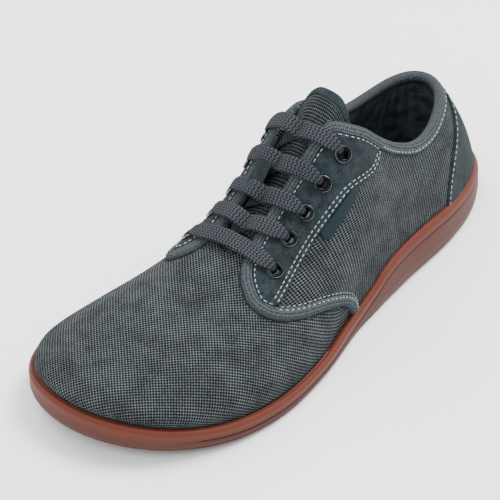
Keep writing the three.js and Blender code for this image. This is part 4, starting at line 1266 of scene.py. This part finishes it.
@dataclass
class Binding:
    """The rib-knit tape over the collar, the facings and the quarters' front edges."""

    width: float = BINDING_WIDTH
    rise: float = QUARTER_STEP + BINDING_RISE
    pitch: float = 1.2
    section: tuple[tuple[float, float], ...] = (
        (0.95, 1.04), (0.985, 0.93), (0.995, 0.72), (1.0, 0.5), (0.93, 0.28), (0.72, 0.08), (0.3, -0.03),
        (-0.4, -0.04), (-0.95, 0.06), (-1.22, 0.28), (-1.28, 0.6), (-1.2, 0.95), (-0.85, 1.0),
    )

    def build(self, shoe: Shoe) -> None:
        """Makes the tape along the quarters' whole free edge."""
        patch = Patch.of(shoe.skin, quarter=shoe.marks.quarter).cut("quarter", 0.0)
        chain = max(patch.chains("quarter", 0.0), key=len)
        line = spaced(smoothed(patch.point[chain], 6), self.pitch)
        place, out = shoe.skin.settle(line)
        inward = unit(np.cross(out, tangents(line)))
        middle = len(line) // 2
        inward *= 1 if self.points_in(shoe, place, inward, middle) else -1
        fold = 1 - np.clip((line[:, 0] - THROAT_END * LAST_LENGTH) / 8, 0, 1)
        rings = []
        for rise, share in self.section:
            lift = np.full(len(line), rise * self.rise)
            if rise < 0:
                lift = lift * fold - 0.1 * (1 - fold)
            spot, way = shoe.skin.settle(place + inward * (share * self.width))
            rings.append(spot + way * lift[:, None])
        stack = np.stack(rings, 1)
        across = np.cumsum(np.linalg.norm(np.diff(self.section, axis=0), axis=1) * self.rise)
        run = np.arange(len(line)) * self.pitch
        cloth = np.stack(np.meshgrid(run, np.concatenate([[0], across]), indexing="ij"), -1)
        piece("edge_binding", swept(stack, cloth), [shoe.wardrobe.tape], ["edge_binding"])

    def points_in(self, shoe: Shoe, place: Array, inward: Array, index: int) -> bool:
        """Whether a direction across the edge leads into the quarters."""
        _, _, face, _ = shoe.skin.tree.find_nearest(place[index] + inward[index] * 4)
        return bool(shoe.marks.quarter[list(shoe.skin.faces[face])].mean() > 0)


@dataclass
class SuedeOverlays:
    """The suede sheets on the quarters: an eyestay on each side and the heel counter."""

    base: float = QUARTER_STEP - 0.1
    top: float = OVERLAY_BASE + OVERLAY
    edge: float = 1.0
    clear: float = BINDING_WIDTH + GAP

    def sheet(self, shoe: Shoe, region: Array, name: str, half: Array | None = None) -> None:
        """Makes one sheet over a region of the skin."""
        patch = Patch.of(shoe.skin, region=region, hole=shoe.holes())
        if half is not None:
            patch.value["half"] = half
            patch.keep("half", 0.0)
        patch.cut("region", 0.0).keep("region", 0.0).cut("region", 0.3, 0.65, 1.0)
        patch.cut("hole", 0.0).keep("hole", 0.0)
        outer = self.base + (self.top - self.base) * rounded(patch.value["region"] + 0.05, self.edge)
        made = thick(patch, outer, np.full(len(outer), self.base - 0.3))
        piece(name, made, [shoe.wardrobe.suede], [name])

    def build(self, shoe: Shoe) -> None:
        """Makes the three sheets."""
        marks = shoe.marks
        stay = corner(marks.eyestay, marks.quarter - self.clear, 3.0)
        across = shoe.skin.point[:, 1] - THROAT_MIDDLE
        self.sheet(shoe, stay, "eyestay_lateral", across)
        self.sheet(shoe, stay, "eyestay_medial", -across)
        self.sheet(shoe, np.minimum(marks.counter, marks.collar - self.clear), "heel_counter")


@dataclass
class SideLabel:
    """The bare woven label on the little-toe side."""

    top: float = OVERLAY_BASE + 0.7
    edge: float = 0.7

    def build(self, shoe: Shoe) -> None:
        """Makes the label."""
        patch = Patch.of(shoe.skin, label=shoe.marks.label)
        patch.cut("label", 0.0).keep("label", 0.0).cut("label", 0.3, 0.7)
        outer = QUARTER_STEP + (self.top - QUARTER_STEP) * rounded(patch.value["label"] + 0.05, self.edge)
        made = thick(patch, outer, np.full(len(outer), QUARTER_STEP - 0.3))
        piece("side_label", made, [shoe.wardrobe.label], ["side_label"])


@dataclass
class Seams:
    """The rows of sewing thread: every stitch lies on its piece and dips in at both ends."""

    pitch: float = 2.9
    length: float = 2.1
    # The real thread is about 0.4 mm thick. It is drawn thicker, so that it shows.
    thickness: float = 0.62
    dip: float = 0.45
    suede_top: float = OVERLAY_BASE + OVERLAY
    tape_top: float = QUARTER_STEP + BINDING_RISE
    sides: int = 6
    bends: tuple[float, ...] = (-1.0, -0.75, -0.3, 0.3, 0.75, 1.0)

    def build(self, shoe: Shoe) -> None:
        """Sews every row."""
        marks = shoe.marks
        tape = BINDING_WIDTH
        bare = np.minimum(-marks.eyestay, -marks.counter) - 0.5
        stay = np.minimum(marks.quarter - tape - 1.0, 50 - marks.eyestay)
        rows = [
            (marks.quarter, tape + 1.2, marks.eyestay - 1.2, self.suede_top),
            (marks.eyestay, 1.3, stay, self.suede_top),
            (marks.eyestay, 3.3, stay - 1.5, self.suede_top),
            (marks.counter, 1.4, marks.collar - tape - 1.0, self.suede_top),
            (marks.quarter, tape - 0.9, np.minimum(bare, marks.collar - 3), self.tape_top),
            (marks.quarter, tape + 1.0, np.minimum(bare, np.minimum(marks.collar, marks.facing) - 8),
             QUARTER_STEP),
        ]
        made: Shell | None = None
        for value, level, region, height in rows:
            for line in self.lines(shoe, value, level, region):
                row = self.sewn(shoe, line, height)
                made = row if made is None else made.joined(row)
        log.info("stitched %d rows", len(rows))
        piece("stitches", made, [shoe.wardrobe.thread])

    @staticmethod
    def lines(shoe: Shoe, value: Array, level: float, region: Array) -> list[Array]:
        """The lines at a distance from an edge, where they are in a region."""
        patch = Patch.of(shoe.skin, line=value, region=region)
        patch.cut("line", level)
        found = []
        for chain in patch.chains("line", level):
            within = patch.value["region"][chain] > 0
            breaks = np.flatnonzero(np.diff(within.astype(int))) + 1
            for run in np.split(chain, breaks):
                if len(run) > 6 and patch.value["region"][run].mean() > 0:
                    found.append(smoothed(patch.point[run], 5))
        return found

    def sewn(self, shoe: Shoe, line: Array, height: float) -> Shell:
        """One row of stitches along a line on the skin, at a height over it."""
        knots = spaced(line, self.pitch)
        place, out = shoe.skin.settle((knots[:-1] + knots[1:]) / 2)
        run = unit(knots[1:] - knots[:-1])
        wide = unit(np.cross(out, run))
        angle = np.arange(self.sides) * 2 * np.pi / self.sides
        bends = np.array(self.bends)
        lift = height + 0.05 - self.dip * bends**4
        radius = self.thickness / 2 * (1 - 0.35 * bends**2)
        centre = place[:, None] + run[:, None] * (bends * self.length / 2)[None, :, None]
        centre = centre + out[:, None] * lift[None, :, None]
        ring = np.cos(angle)[:, None] * wide[:, None, None] + np.sin(angle)[:, None] * out[:, None, None]
        points = centre[:, :, None] + ring * radius[None, :, None, None]
        count, bend, sides = points.shape[:3]
        size = bend * sides
        tube = hoops(bend, sides) + [tuple(range(sides))[::-1], tuple(range(size - sides, size))]
        faces = [tuple(k + j * size for k in face) for j in range(count) for face in tube]
        return facing_out(shell(points.reshape(-1, 3), faces))


@dataclass
class Eyelets:
    """Ten pressed eyelets: a barrel through the overlay under a rolled flange."""

    sides: int = 40
    # Each row: radius and height in millimetres, and the share of painted highlight there.
    profile: tuple[tuple[float, float, float], ...] = (
        (2.15, -3.8, 0.0), (2.6, -3.8, 0.0), (2.6, -0.3, 0.0), (3.9, -0.3, 0.0), (4.15, 0.0, 0.3),
        (4.15, 0.35, 0.7), (3.95, 0.7, 0.6), (3.6, 0.88, 0.15), (3.0, 0.9, 0.0), (2.5, 0.65, 0.0),
        (2.2, 0.2, 0.0),
    )

    def build(self, shoe: Shoe) -> None:
        """Makes both rows."""
        for side in Side:
            for index, seat in enumerate(shoe.seats[side]):
                name = f"eyelet_{side.name.lower()}_{index + 1}"
                piece(name, self.eyelet(seat), [shoe.wardrobe.brass], [name])

    def eyelet(self, seat: Seat) -> Shell:
        """One eyelet on its seat."""
        wide = unit(np.cross(seat.out, (0.0, 0.0, 1.0)))
        far = np.cross(seat.out, wide)
        turn = np.arange(self.sides) * 2 * np.pi / self.sides
        spoke = np.cos(turn)[:, None] * wide + np.sin(turn)[:, None] * far
        radius, height, worn = np.array(self.profile).T
        rings = seat.point + spoke[:, None] * radius[None, :, None] + seat.out * height[None, :, None]
        made = swept(rings, rings[..., :2], closed=True)
        # The share of painted highlight at each ring goes into the tint.
        made.tint = np.tile(worn, self.sides)
        return made


@dataclass
class Laces:
    """The flat laces: four crossings and a straight bar, each end let into its eyelet."""

    width: float = LACE_WIDTH + 0.6
    thickness: float = LACE_THICKNESS
    over: float = 4.1
    under: float = -3.9
    clear: float = EYELET_FLANGE + 1.2
    sides: int = 18
    section: tuple[float, float] = (0.55, 0.7)
    aim: float = 0.4
    stack: float = 0.95
    wave: float = 0.21
    tilt: float = 0.09
    heights: tuple[tuple[float, float], ...] = (
        (0.0, 1.0), (0.16, 1.0), (0.32, 0.97), (0.42, 0.78), (0.53, 0.4), (0.64, 0.1), (0.74, 0.0),
        (1.0, 0.0),
    )
    # From the eyelet's middle: the way out in millimetres, the height, the share of the width.
    entry: tuple[tuple[float, float, float], ...] = (
        (0.35, 0.2, 0.36), (0.9, 2.1, 0.4), (1.7, 3.5, 0.5), (2.8, 4.45, 0.62), (4.2, 4.75, 0.78),
        (5.4, 4.55, 0.88),
    )

    def build(self, shoe: Shoe) -> None:
        """Makes the crossings from the top, and the bar."""
        for index in range(len(EYELETS) - 1):
            made = None
            for side in (Side.LATERAL, Side.MEDIAL):
                on_top = (side is Side.MEDIAL) != (index == 1)
                strip = self.crossing(shoe, index, side, on_top)
                made = strip if made is None else made.joined(strip)
            name = f"lace_crossing_{index + 1}"
            piece(name, made, [shoe.wardrobe.lace], [name])
        piece("lace_bar", self.bar(shoe), [shoe.wardrobe.lace], ["lace_bar"])

    def start(self, seat: Seat, goal: Array) -> tuple[Array, Array, Array]:
        """Places, heights and widths where a strip leaves its eyelet towards a goal."""
        centre = np.array([seat.x, across_at(seat.x, seat.half, seat.side)])
        way = unit(goal - centre)
        far, height, wide = np.array(self.entry).T
        return centre + way * far[:, None], height, wide

    def crossing(self, shoe: Shoe, index: int, side: Side, on_top: bool) -> Shell:
        """One strip from its eyelet over the tongue to under the other facing."""
        seat = shoe.seats[side][index]
        middle = (EYELETS[index][0] + EYELETS[index + 1][0]) / 2
        facing = np.array(FACING_EDGE)
        reach = hermite(facing, 1, np.array(middle)) * BALL_WIDTH + LACE_WIDTH
        other = Side.MEDIAL if side is Side.LATERAL else Side.LATERAL
        x = middle * LAST_LENGTH
        end = np.array([x, across_at(x, float(reach), other)])
        first = np.array([seat.x, across_at(seat.x, seat.half - self.clear, side)])
        place, height, wide = self.start(seat, first * (1 - self.aim) + end * self.aim)
        share = np.linspace(0.06, 1, 34)
        rows = np.array(self.heights)
        rise = LACE_THICKNESS * self.stack * np.clip(1.5 - np.abs(share - 0.5) * 5, 0, 1) * on_top
        lift = self.under + (self.over - self.under) * hermite(rows, 1, share) + rise
        flat = np.vstack([place, place[-1] + (end - place[-1]) * share[:, None]])
        height = np.concatenate([height, lift])
        wide = np.concatenate([wide, np.clip(0.9 + share * 1.2, 0, 1)])
        return self.strip(flat, height, wide, index * 23.0 + side.value * 5.0)

    def bar(self, shoe: Shoe) -> Shell:
        """The straight pass between the lowest pair of eyelets."""
        left, right = (shoe.seats[side][-1] for side in Side)
        a, high, wide = self.start(left, right.point[:2])
        b, _, _ = self.start(right, left.point[:2])
        share = np.linspace(0.05, 0.95, 26)
        flat = np.vstack([a, a[-1] + (b[-1] - a[-1]) * share[:, None], b[::-1]])
        lift = self.over - 0.35 * np.sin(np.pi * share)
        height = np.concatenate([high, lift, high[::-1]])
        wide = np.concatenate([wide, np.clip(0.9 + np.minimum(share, 1 - share) * 1.5, 0, 1), wide[::-1]])
        return self.strip(flat, height, wide, 131.0)

    def strip(self, flat: Array, height: Array, wide: Array, shift: float) -> Shell:
        """A flat braid along places seen from above, at heights over the last."""
        point, out = on_last(flat[:, 0], flat[:, 1], height)
        ends = point[[0, -1]]
        point = smoothed(point, 2)
        point[[0, -1]] = ends
        run = tangents(point)
        way = unit(smoothed(out, 6))
        across = unit(np.cross(run, way))
        tilt = np.sin(np.arange(len(point)) * self.wave + shift) * self.tilt
        up = unit(np.cross(across, run)) + across * tilt[:, None]
        up = unit(up)
        across = unit(np.cross(run, up))
        w, h = oblong(self.sides, *self.section)
        span = (wide * self.width)[:, None, None]
        deep = (self.thickness * (1 + 0.45 * (1 - wide)))[:, None, None]
        rings = point[:, None] + across[:, None] * w[:, None] * span + up[:, None] * h[:, None] * deep
        length = np.concatenate([[0], np.cumsum(np.linalg.norm(np.diff(point, axis=0), axis=1))]) + shift
        cloth = np.stack(np.broadcast_arrays(length[:, None], w[None] * self.width * 1.05 + 40.5), -1)
        return swept(rings, cloth)


@dataclass
class Tongue:
    """The padded tongue: air mesh with a suede band round its free end, and the lace keeper."""

    depth: float = TONGUE_DEPTH
    thickness: float = TONGUE_THICKNESS
    band: float = TONGUE_BAND
    band_step: float = 0.5
    across: int = 27
    blunt: float = 6.0
    end_round: float = 1.8
    keeper_width: float = 8.4
    keeper_length: float = 11.0
    keeper_thickness: float = 1.3
    keeper_top: float = 4.2
    keeper_shift: float = 5.0
    keeper_aside: float = -3.0
    keeper_sides: int = 20
    keeper_section: tuple[float, float] = (0.25, 0.6)

    def build(self, shoe: Shoe) -> None:
        """Makes the tongue, its band and the keeper."""
        end = TONGUE_EDGE[0][0] * LAST_LENGTH
        front = end + self.band
        root = TONGUE_EDGE[-1][0] * LAST_LENGTH
        body = self.layer(np.linspace(front - 1.0, root, 56), self.depth, self.thickness, 0.0)
        made = piece("tongue", body, [shoe.wardrobe.tongue], ["tongue"])
        x = end + (front - end) * np.linspace(0, 1, 18) ** 1.4
        top = self.depth - self.band_step
        band = self.layer(x, top, self.thickness + 2 * self.band_step, self.end_round)
        piece("tongue_band", band, [shoe.wardrobe.suede], ["tongue_band"])
        piece("lace_keeper", self.keeper(), [shoe.wardrobe.suede], ["lace_keeper"])

    def layer(self, x: Array, top: float, thickness: float, end_round: float) -> Shell:
        """A padded strip along the tongue's middle line."""
        half = hermite(np.array(TONGUE_EDGE), 1, x / LAST_LENGTH) * BALL_WIDTH
        t = np.sin(np.linspace(-1, 1, self.across) * np.pi / 2)
        y = np.array([
            [across_at(float(a), float(h * abs(k)), Side.LATERAL if k > 0 else Side.MEDIAL) for k in t]
            for a, h in zip(x, half)
        ])
        grid = np.repeat(x[:, None], self.across, 1)
        full = np.ones(len(x))
        if end_round:
            full = rounded(x - x[0] + 0.25, end_round)
        bulge = (1 - np.abs(t) ** self.blunt) ** 0.5 * full[:, None]
        middle = -(top + thickness / 2)
        upper, _ = on_last(grid, y, middle + bulge * thickness / 2)
        lower, _ = on_last(grid, y, middle - bulge * thickness / 2)
        rings = np.concatenate([upper, lower[:, -2:0:-1]], 1)
        rings[..., 2] += self.lift(rings)
        run = np.concatenate([y, y[:, -2:0:-1]], 1)
        cloth = np.stack([np.repeat(x[:, None], rings.shape[1], 1), run], -1)
        return swept(rings, cloth)

    @staticmethod
    def lift(points: Array) -> Array:
        """How much the free end stands up."""
        share = np.clip((TONGUE_BEND - points[..., 0]) / TONGUE_BEND_LENGTH, 0, 1)
        run = share**2 * (3 - 2 * share)
        wide = TONGUE_EDGE[3][1] * BALL_WIDTH
        across = np.clip(np.abs(points[..., 1] - THROAT_MIDDLE) / wide, 0, 1)
        return TONGUE_LIFT * run * (1 - across**4)

    def keeper(self) -> Shell:
        """The suede bridge over the second crossing."""
        foot = -self.depth
        rows = np.array([(-0.56, foot), (-0.5, foot + 1.5), (-0.44, self.keeper_top - 1.0),
                         (-0.34, self.keeper_top), (0.0, self.keeper_top + 0.3), (0.34, self.keeper_top),
                         (0.44, self.keeper_top - 1.0), (0.5, foot + 1.5), (0.56, foot)])
        line = catmull(rows, 4)
        x = KEEPER_ALONG + self.keeper_shift + line[:, 0] * self.keeper_length
        point, out = on_last(x, np.full(len(x), THROAT_MIDDLE + self.keeper_aside), line[:, 1])
        run = tangents(point)
        across = np.tile((0.0, 1.0, 0.0), (len(x), 1))
        up = unit(np.cross(run, across))
        w, h = oblong(self.keeper_sides, *self.keeper_section)
        rings = point[:, None] + across[:, None] * (w * self.keeper_width)[:, None]
        rings = rings + up[:, None] * (h * self.keeper_thickness)[:, None]
        return swept(rings, rings[..., :2])


@dataclass
class Sole:
    """The moulded gum cup sole: a banded side with fine lines, cross treads, and a toe bumper. Its upper
    band is painted lighter as painted light, its lower band darker as painted shade.
    """

    rim_out: float = RIM_OUT
    around: int = 400
    rows: int = 64
    tread_pitch: float = 14.0
    tread_width: float = 2.6
    tread_depth: float = 1.4
    tread_edge: float = 0.35
    border: float = 1.5
    line_depth: float = 0.55
    band: float = 5.5
    low_line: float = 2.3
    blend: float = 0.6
    # Tint of the lower band's painted-shade tone, also given to the underside.
    lower_shade_tint: float = 0.5
    faint: float = 0.25
    # Up the side: the share of its height, and of rim_out where it is round and where upright.
    side: tuple[tuple[float, float, float], ...] = (
        (0.0, -0.35, 0.3), (0.05, 0.4, 0.95), (0.2, 0.86, 1.25), (0.5, 1.0, 1.2), (0.69, 0.99, 1.1),
        (0.93, 0.92, 1.0), (1.0, 0.72, 0.76),
    )

    def build(self, shoe: Shoe) -> None:
        """Makes the sole."""
        turn = 1 - np.arange(self.around) / self.around
        along = outline_at(turn)[:, 0] / LAST_LENGTH
        foot, out = outline_at(turn), outward_at(turn)
        under = underside_at(along)
        climb = np.maximum(hermite(RIM_CLIMB, 1, along), 0)
        high = feather_at(along) + climb + GAP - under
        up = np.linspace(0, 1, self.rows)
        table = np.array(self.side)
        upright = np.clip(hermite(RIM_CLIMB, 2, along), 0, 1)
        shape = hermite(table, 1, up)[:, None] * (1 - upright) + hermite(table, 2, up)[:, None] * upright
        groove = self.lines(along, high, up[:, None] * high)
        side = np.empty((self.rows, self.around, 3))
        side[..., 2] = under + high * up[:, None]
        reach = shape * self.rim_out - self.line_depth * groove + self.bulge(turn, side[..., 2])
        side[..., :2] = foot + out * reach[..., None]
        # Painted shade: below the split the side is tinted towards the darker tone.
        lower = np.clip((self.split(high) - up[:, None] * high) / self.blend, 0, 1) * self.lower_shade_tint
        # Painted shade: the moulded grooves are marked in the tint, to be painted near-black.
        tint = np.maximum(lower, groove * (groove > self.faint))
        floor, top = under + OUTSOLE_FLOOR, high + under
        inner = ((2.1, top + 0.02), (1.5, top - 0.15), (0.1, top - 0.6), (0.1, feather_at(along)),
                 (0.1, floor))
        rings = [
            np.column_stack([foot + out * (gap + self.bulge(turn, z[None])[0])[:, None], z])
            for gap, z in inner
        ]
        wall = np.concatenate([side, np.array(rings)])
        count = self.around
        faces = hoops(len(wall), count) + stitched((len(wall) - 1) * count, count)
        tint = np.concatenate([tint, np.zeros((len(inner), count))]).ravel()
        cup = shell(wall.reshape(-1, 3), faces, tint=tint)
        made = cup.joined(self.bottom(side[0], turn))
        piece("outsole", made, [shoe.wardrobe.gum], ["outsole"])

    @staticmethod
    def bulge(turn: Array, z: Array) -> Array:
        """How far the upper stands out past its feather line at heights over the floor."""
        skin = last_point(turn[None], np.linspace(0, 0.45, 40)[:, None])
        out = ((skin[..., :2] - outline_at(turn)) * outward_at(turn)).sum(-1)
        return np.stack([np.interp(z[:, k], skin[:, k, 2], out[:, k]) for k in range(len(turn))], 1)

    def split(self, high: Array) -> Array:
        """Height over the underside of the line between the two tones: painted light above, painted shade
        below.
        """
        return np.maximum(high - self.band, high / 2)

    def lines(self, along: Array, high: Array, height: Array) -> Array:
        """The fine moulded lines, cut in and painted dark as painted shade: one on the split and one near
        the floor, gone at the toe.
        """
        fade = np.clip((0.93 - along) * 20, 0, 1)
        upper = np.exp(-(((height - self.split(high)) / 0.5) ** 2))
        lower = np.exp(-(((height - self.low_line) / 0.45) ** 2))
        return np.maximum(upper, 0.7 * lower) * fade

    def bottom(self, edge: Array, turn: Array) -> Shell:
        """The underside with its cross treads."""
        spine = spine_at(turn)
        shares = np.linspace(1, 0.03, 40)
        rings = []
        for share in shares:
            flat = spine + (edge[:, :2] - spine) * share
            rings.append(np.column_stack([flat, underside_at(flat[:, 0] / LAST_LENGTH)]))
        rings[0] = edge
        point = np.array(rings).reshape(-1, 3)
        count = self.around
        faces = hoops(len(rings), count) + stitched((len(rings) - 1) * count, count)
        faces = [face[::-1] for face in faces]
        x, y = point[:, 0], point[:, 1]
        bent = x - self.tread_pitch / 2 * (1 - np.abs(y) / BALL_WIDTH) - TREAD_START * LAST_LENGTH
        groove = self.tread_width / 2 - np.abs(bent % self.tread_pitch - self.tread_width / 2)
        groove = np.where((bent > 0) & (x < TREAD_END * LAST_LENGTH), groove, -1.0)
        rim = np.repeat(np.minimum((1 - shares) * 45, 6.0), count)
        down = np.tile((0.0, 0.0, 1.0), (len(point), 1))
        patch = Patch(point, down, point[:, :2], {"groove": groove, "rim": rim}, faces)
        patch.cut("groove", 0.0, self.tread_edge)
        depth = np.clip(patch.value["groove"] / self.tread_edge, 0, 1)
        depth = depth * np.clip(patch.value["rim"] / self.border, 0, 1)
        made = patch.point + patch.out * (depth * self.tread_depth)[:, None]
        # The underside takes the lower band's painted-shade tone.
        return shell(made, patch.faces, tint=np.full(len(made), self.lower_shade_tint))


@dataclass
class Insole:
    """The cloth-covered foam footbed with its raised edge."""

    around: int = 200
    rows: tuple[tuple[float, float], ...] = (
        (-2.3, 0.3), (-2.3, 3.3), (-2.6, 4.1), (-3.4, 4.4), (-5.0, 4.1), (-8.0, 3.6), (-14.3, 3.3),
        (-22.0, 3.25),
    )

    def build(self, shoe: Shoe) -> None:
        """Makes the footbed."""
        turn = 1 - np.arange(self.around) / self.around
        foot, out = outline_at(turn), outward_at(turn)
        floor = underside_at(foot[:, 0] / LAST_LENGTH) + OUTSOLE_FLOOR
        rings = [np.column_stack([foot + out * reach, floor + rise]) for reach, rise in self.rows]
        count, points = self.around, np.concatenate(rings)
        faces = hoops(len(rings), count) + stitched((len(rings) - 1) * count, count)
        faces += [face[::-1] for face in stitched(0, count)]
        made = piece("insole", shell(points, faces), [shoe.wardrobe.lining], ["insole"])


@dataclass
class Studio:
    """The floor, the lights and the camera at the photograph's angle."""

    azimuth: float = 130.49
    elevation: float = 39.26
    roll: float = 0.15
    away: float = 1291.0
    lens: float = 193.5
    target: tuple[float, float, float] = (14.75, -7.68, 35.77)
    # Each light: azimuth and elevation in degrees, distance in metres, side in metres, watts.
    lamps: tuple[tuple[float, float, float, float, float], ...] = (
        (250.0, 62.0, 1.5, 0.8, 42.0), (95.0, 50.0, 1.6, 1.0, 14.0), (350.0, 48.0, 1.6, 1.0, 18.0),
    )
    sky: float = 1.05
    board: float = 3.0

    def build(self, shoe: Shoe) -> None:
        """Sets up the studio."""
        self.floor(shoe)
        for number, (azimuth, elevation, away, side, watts) in enumerate(self.lamps):
            lamp = bpy.data.lights.new(f"softbox_{number}", "AREA")
            lamp.size = side
            lamp.energy = watts
            self.aim(bpy.data.objects.new(lamp.name, lamp), azimuth, elevation, away)
        world = bpy.data.worlds.new("studio")
        world.use_nodes = True
        sky = world.node_tree.nodes["Background"]
        sky.inputs["Color"].default_value = linear("#f4f6f8")
        sky.inputs["Strength"].default_value = self.sky
        bpy.context.scene.world = world
        lens = bpy.data.cameras.new("camera")
        lens.lens = self.lens
        camera = bpy.data.objects.new("camera", lens)
        self.aim(camera, self.azimuth, self.elevation, self.away * MM, self.roll)
        bpy.context.scene.camera = camera

    def floor(self, shoe: Shoe) -> None:
        """The pale board that the shoe stands on."""
        mesh = bpy.data.meshes.new("floor")
        grid = bmesh.new()
        bmesh.ops.create_grid(grid, x_segments=8, y_segments=8, size=self.board)
        grid.to_mesh(mesh)
        grid.free()
        mesh.materials.append(shoe.wardrobe.board)
        floor = bpy.data.objects.new("floor", mesh)
        bpy.context.collection.objects.link(floor)

    def aim(self, thing: bpy.types.Object, azimuth: float, elevation: float, away: float,
            roll: float = 0.0) -> None:
        """Places an object round the target, looking at it.

        Args:
            thing: the lamp or camera.
            azimuth: degrees round the shoe, 0 from its -Y side.
            elevation: degrees over the floor.
            away: metres from the target.
            roll: degrees of turn round the line of sight.
        """
        a, e = math.radians(azimuth), math.radians(elevation)
        back = Vector((math.sin(a) * math.cos(e), -math.cos(a) * math.cos(e), math.sin(e)))
        right = Vector((math.cos(a), math.sin(a), 0.0))
        up = back.cross(right)
        c, s = math.cos(math.radians(roll)), math.sin(math.radians(roll))
        turned = (right * c - up * s, right * s + up * c, back)
        matrix = Matrix([list(row) for row in zip(*turned)]).to_4x4()
        matrix.translation = Vector(self.target) * MM + back * away
        thing.matrix_world = matrix
        bpy.context.collection.objects.link(thing)


def main() -> None:
    """Builds the pieces in order."""
    logging.basicConfig(level=logging.INFO, format="%(name)s %(message)s")
    shoe = Shoe()
    studio = Studio()
    studio.build(shoe)
    parts = (
        Sole(), Insole(), Upper(), Tongue(), SuedeOverlays(), Binding(), SideLabel(), Eyelets(),
        Laces(), Seams(),
    )
    for part in parts:
        part.build(shoe)
    bpy.context.view_layer.update()


if __name__ == "__main__":
    main()
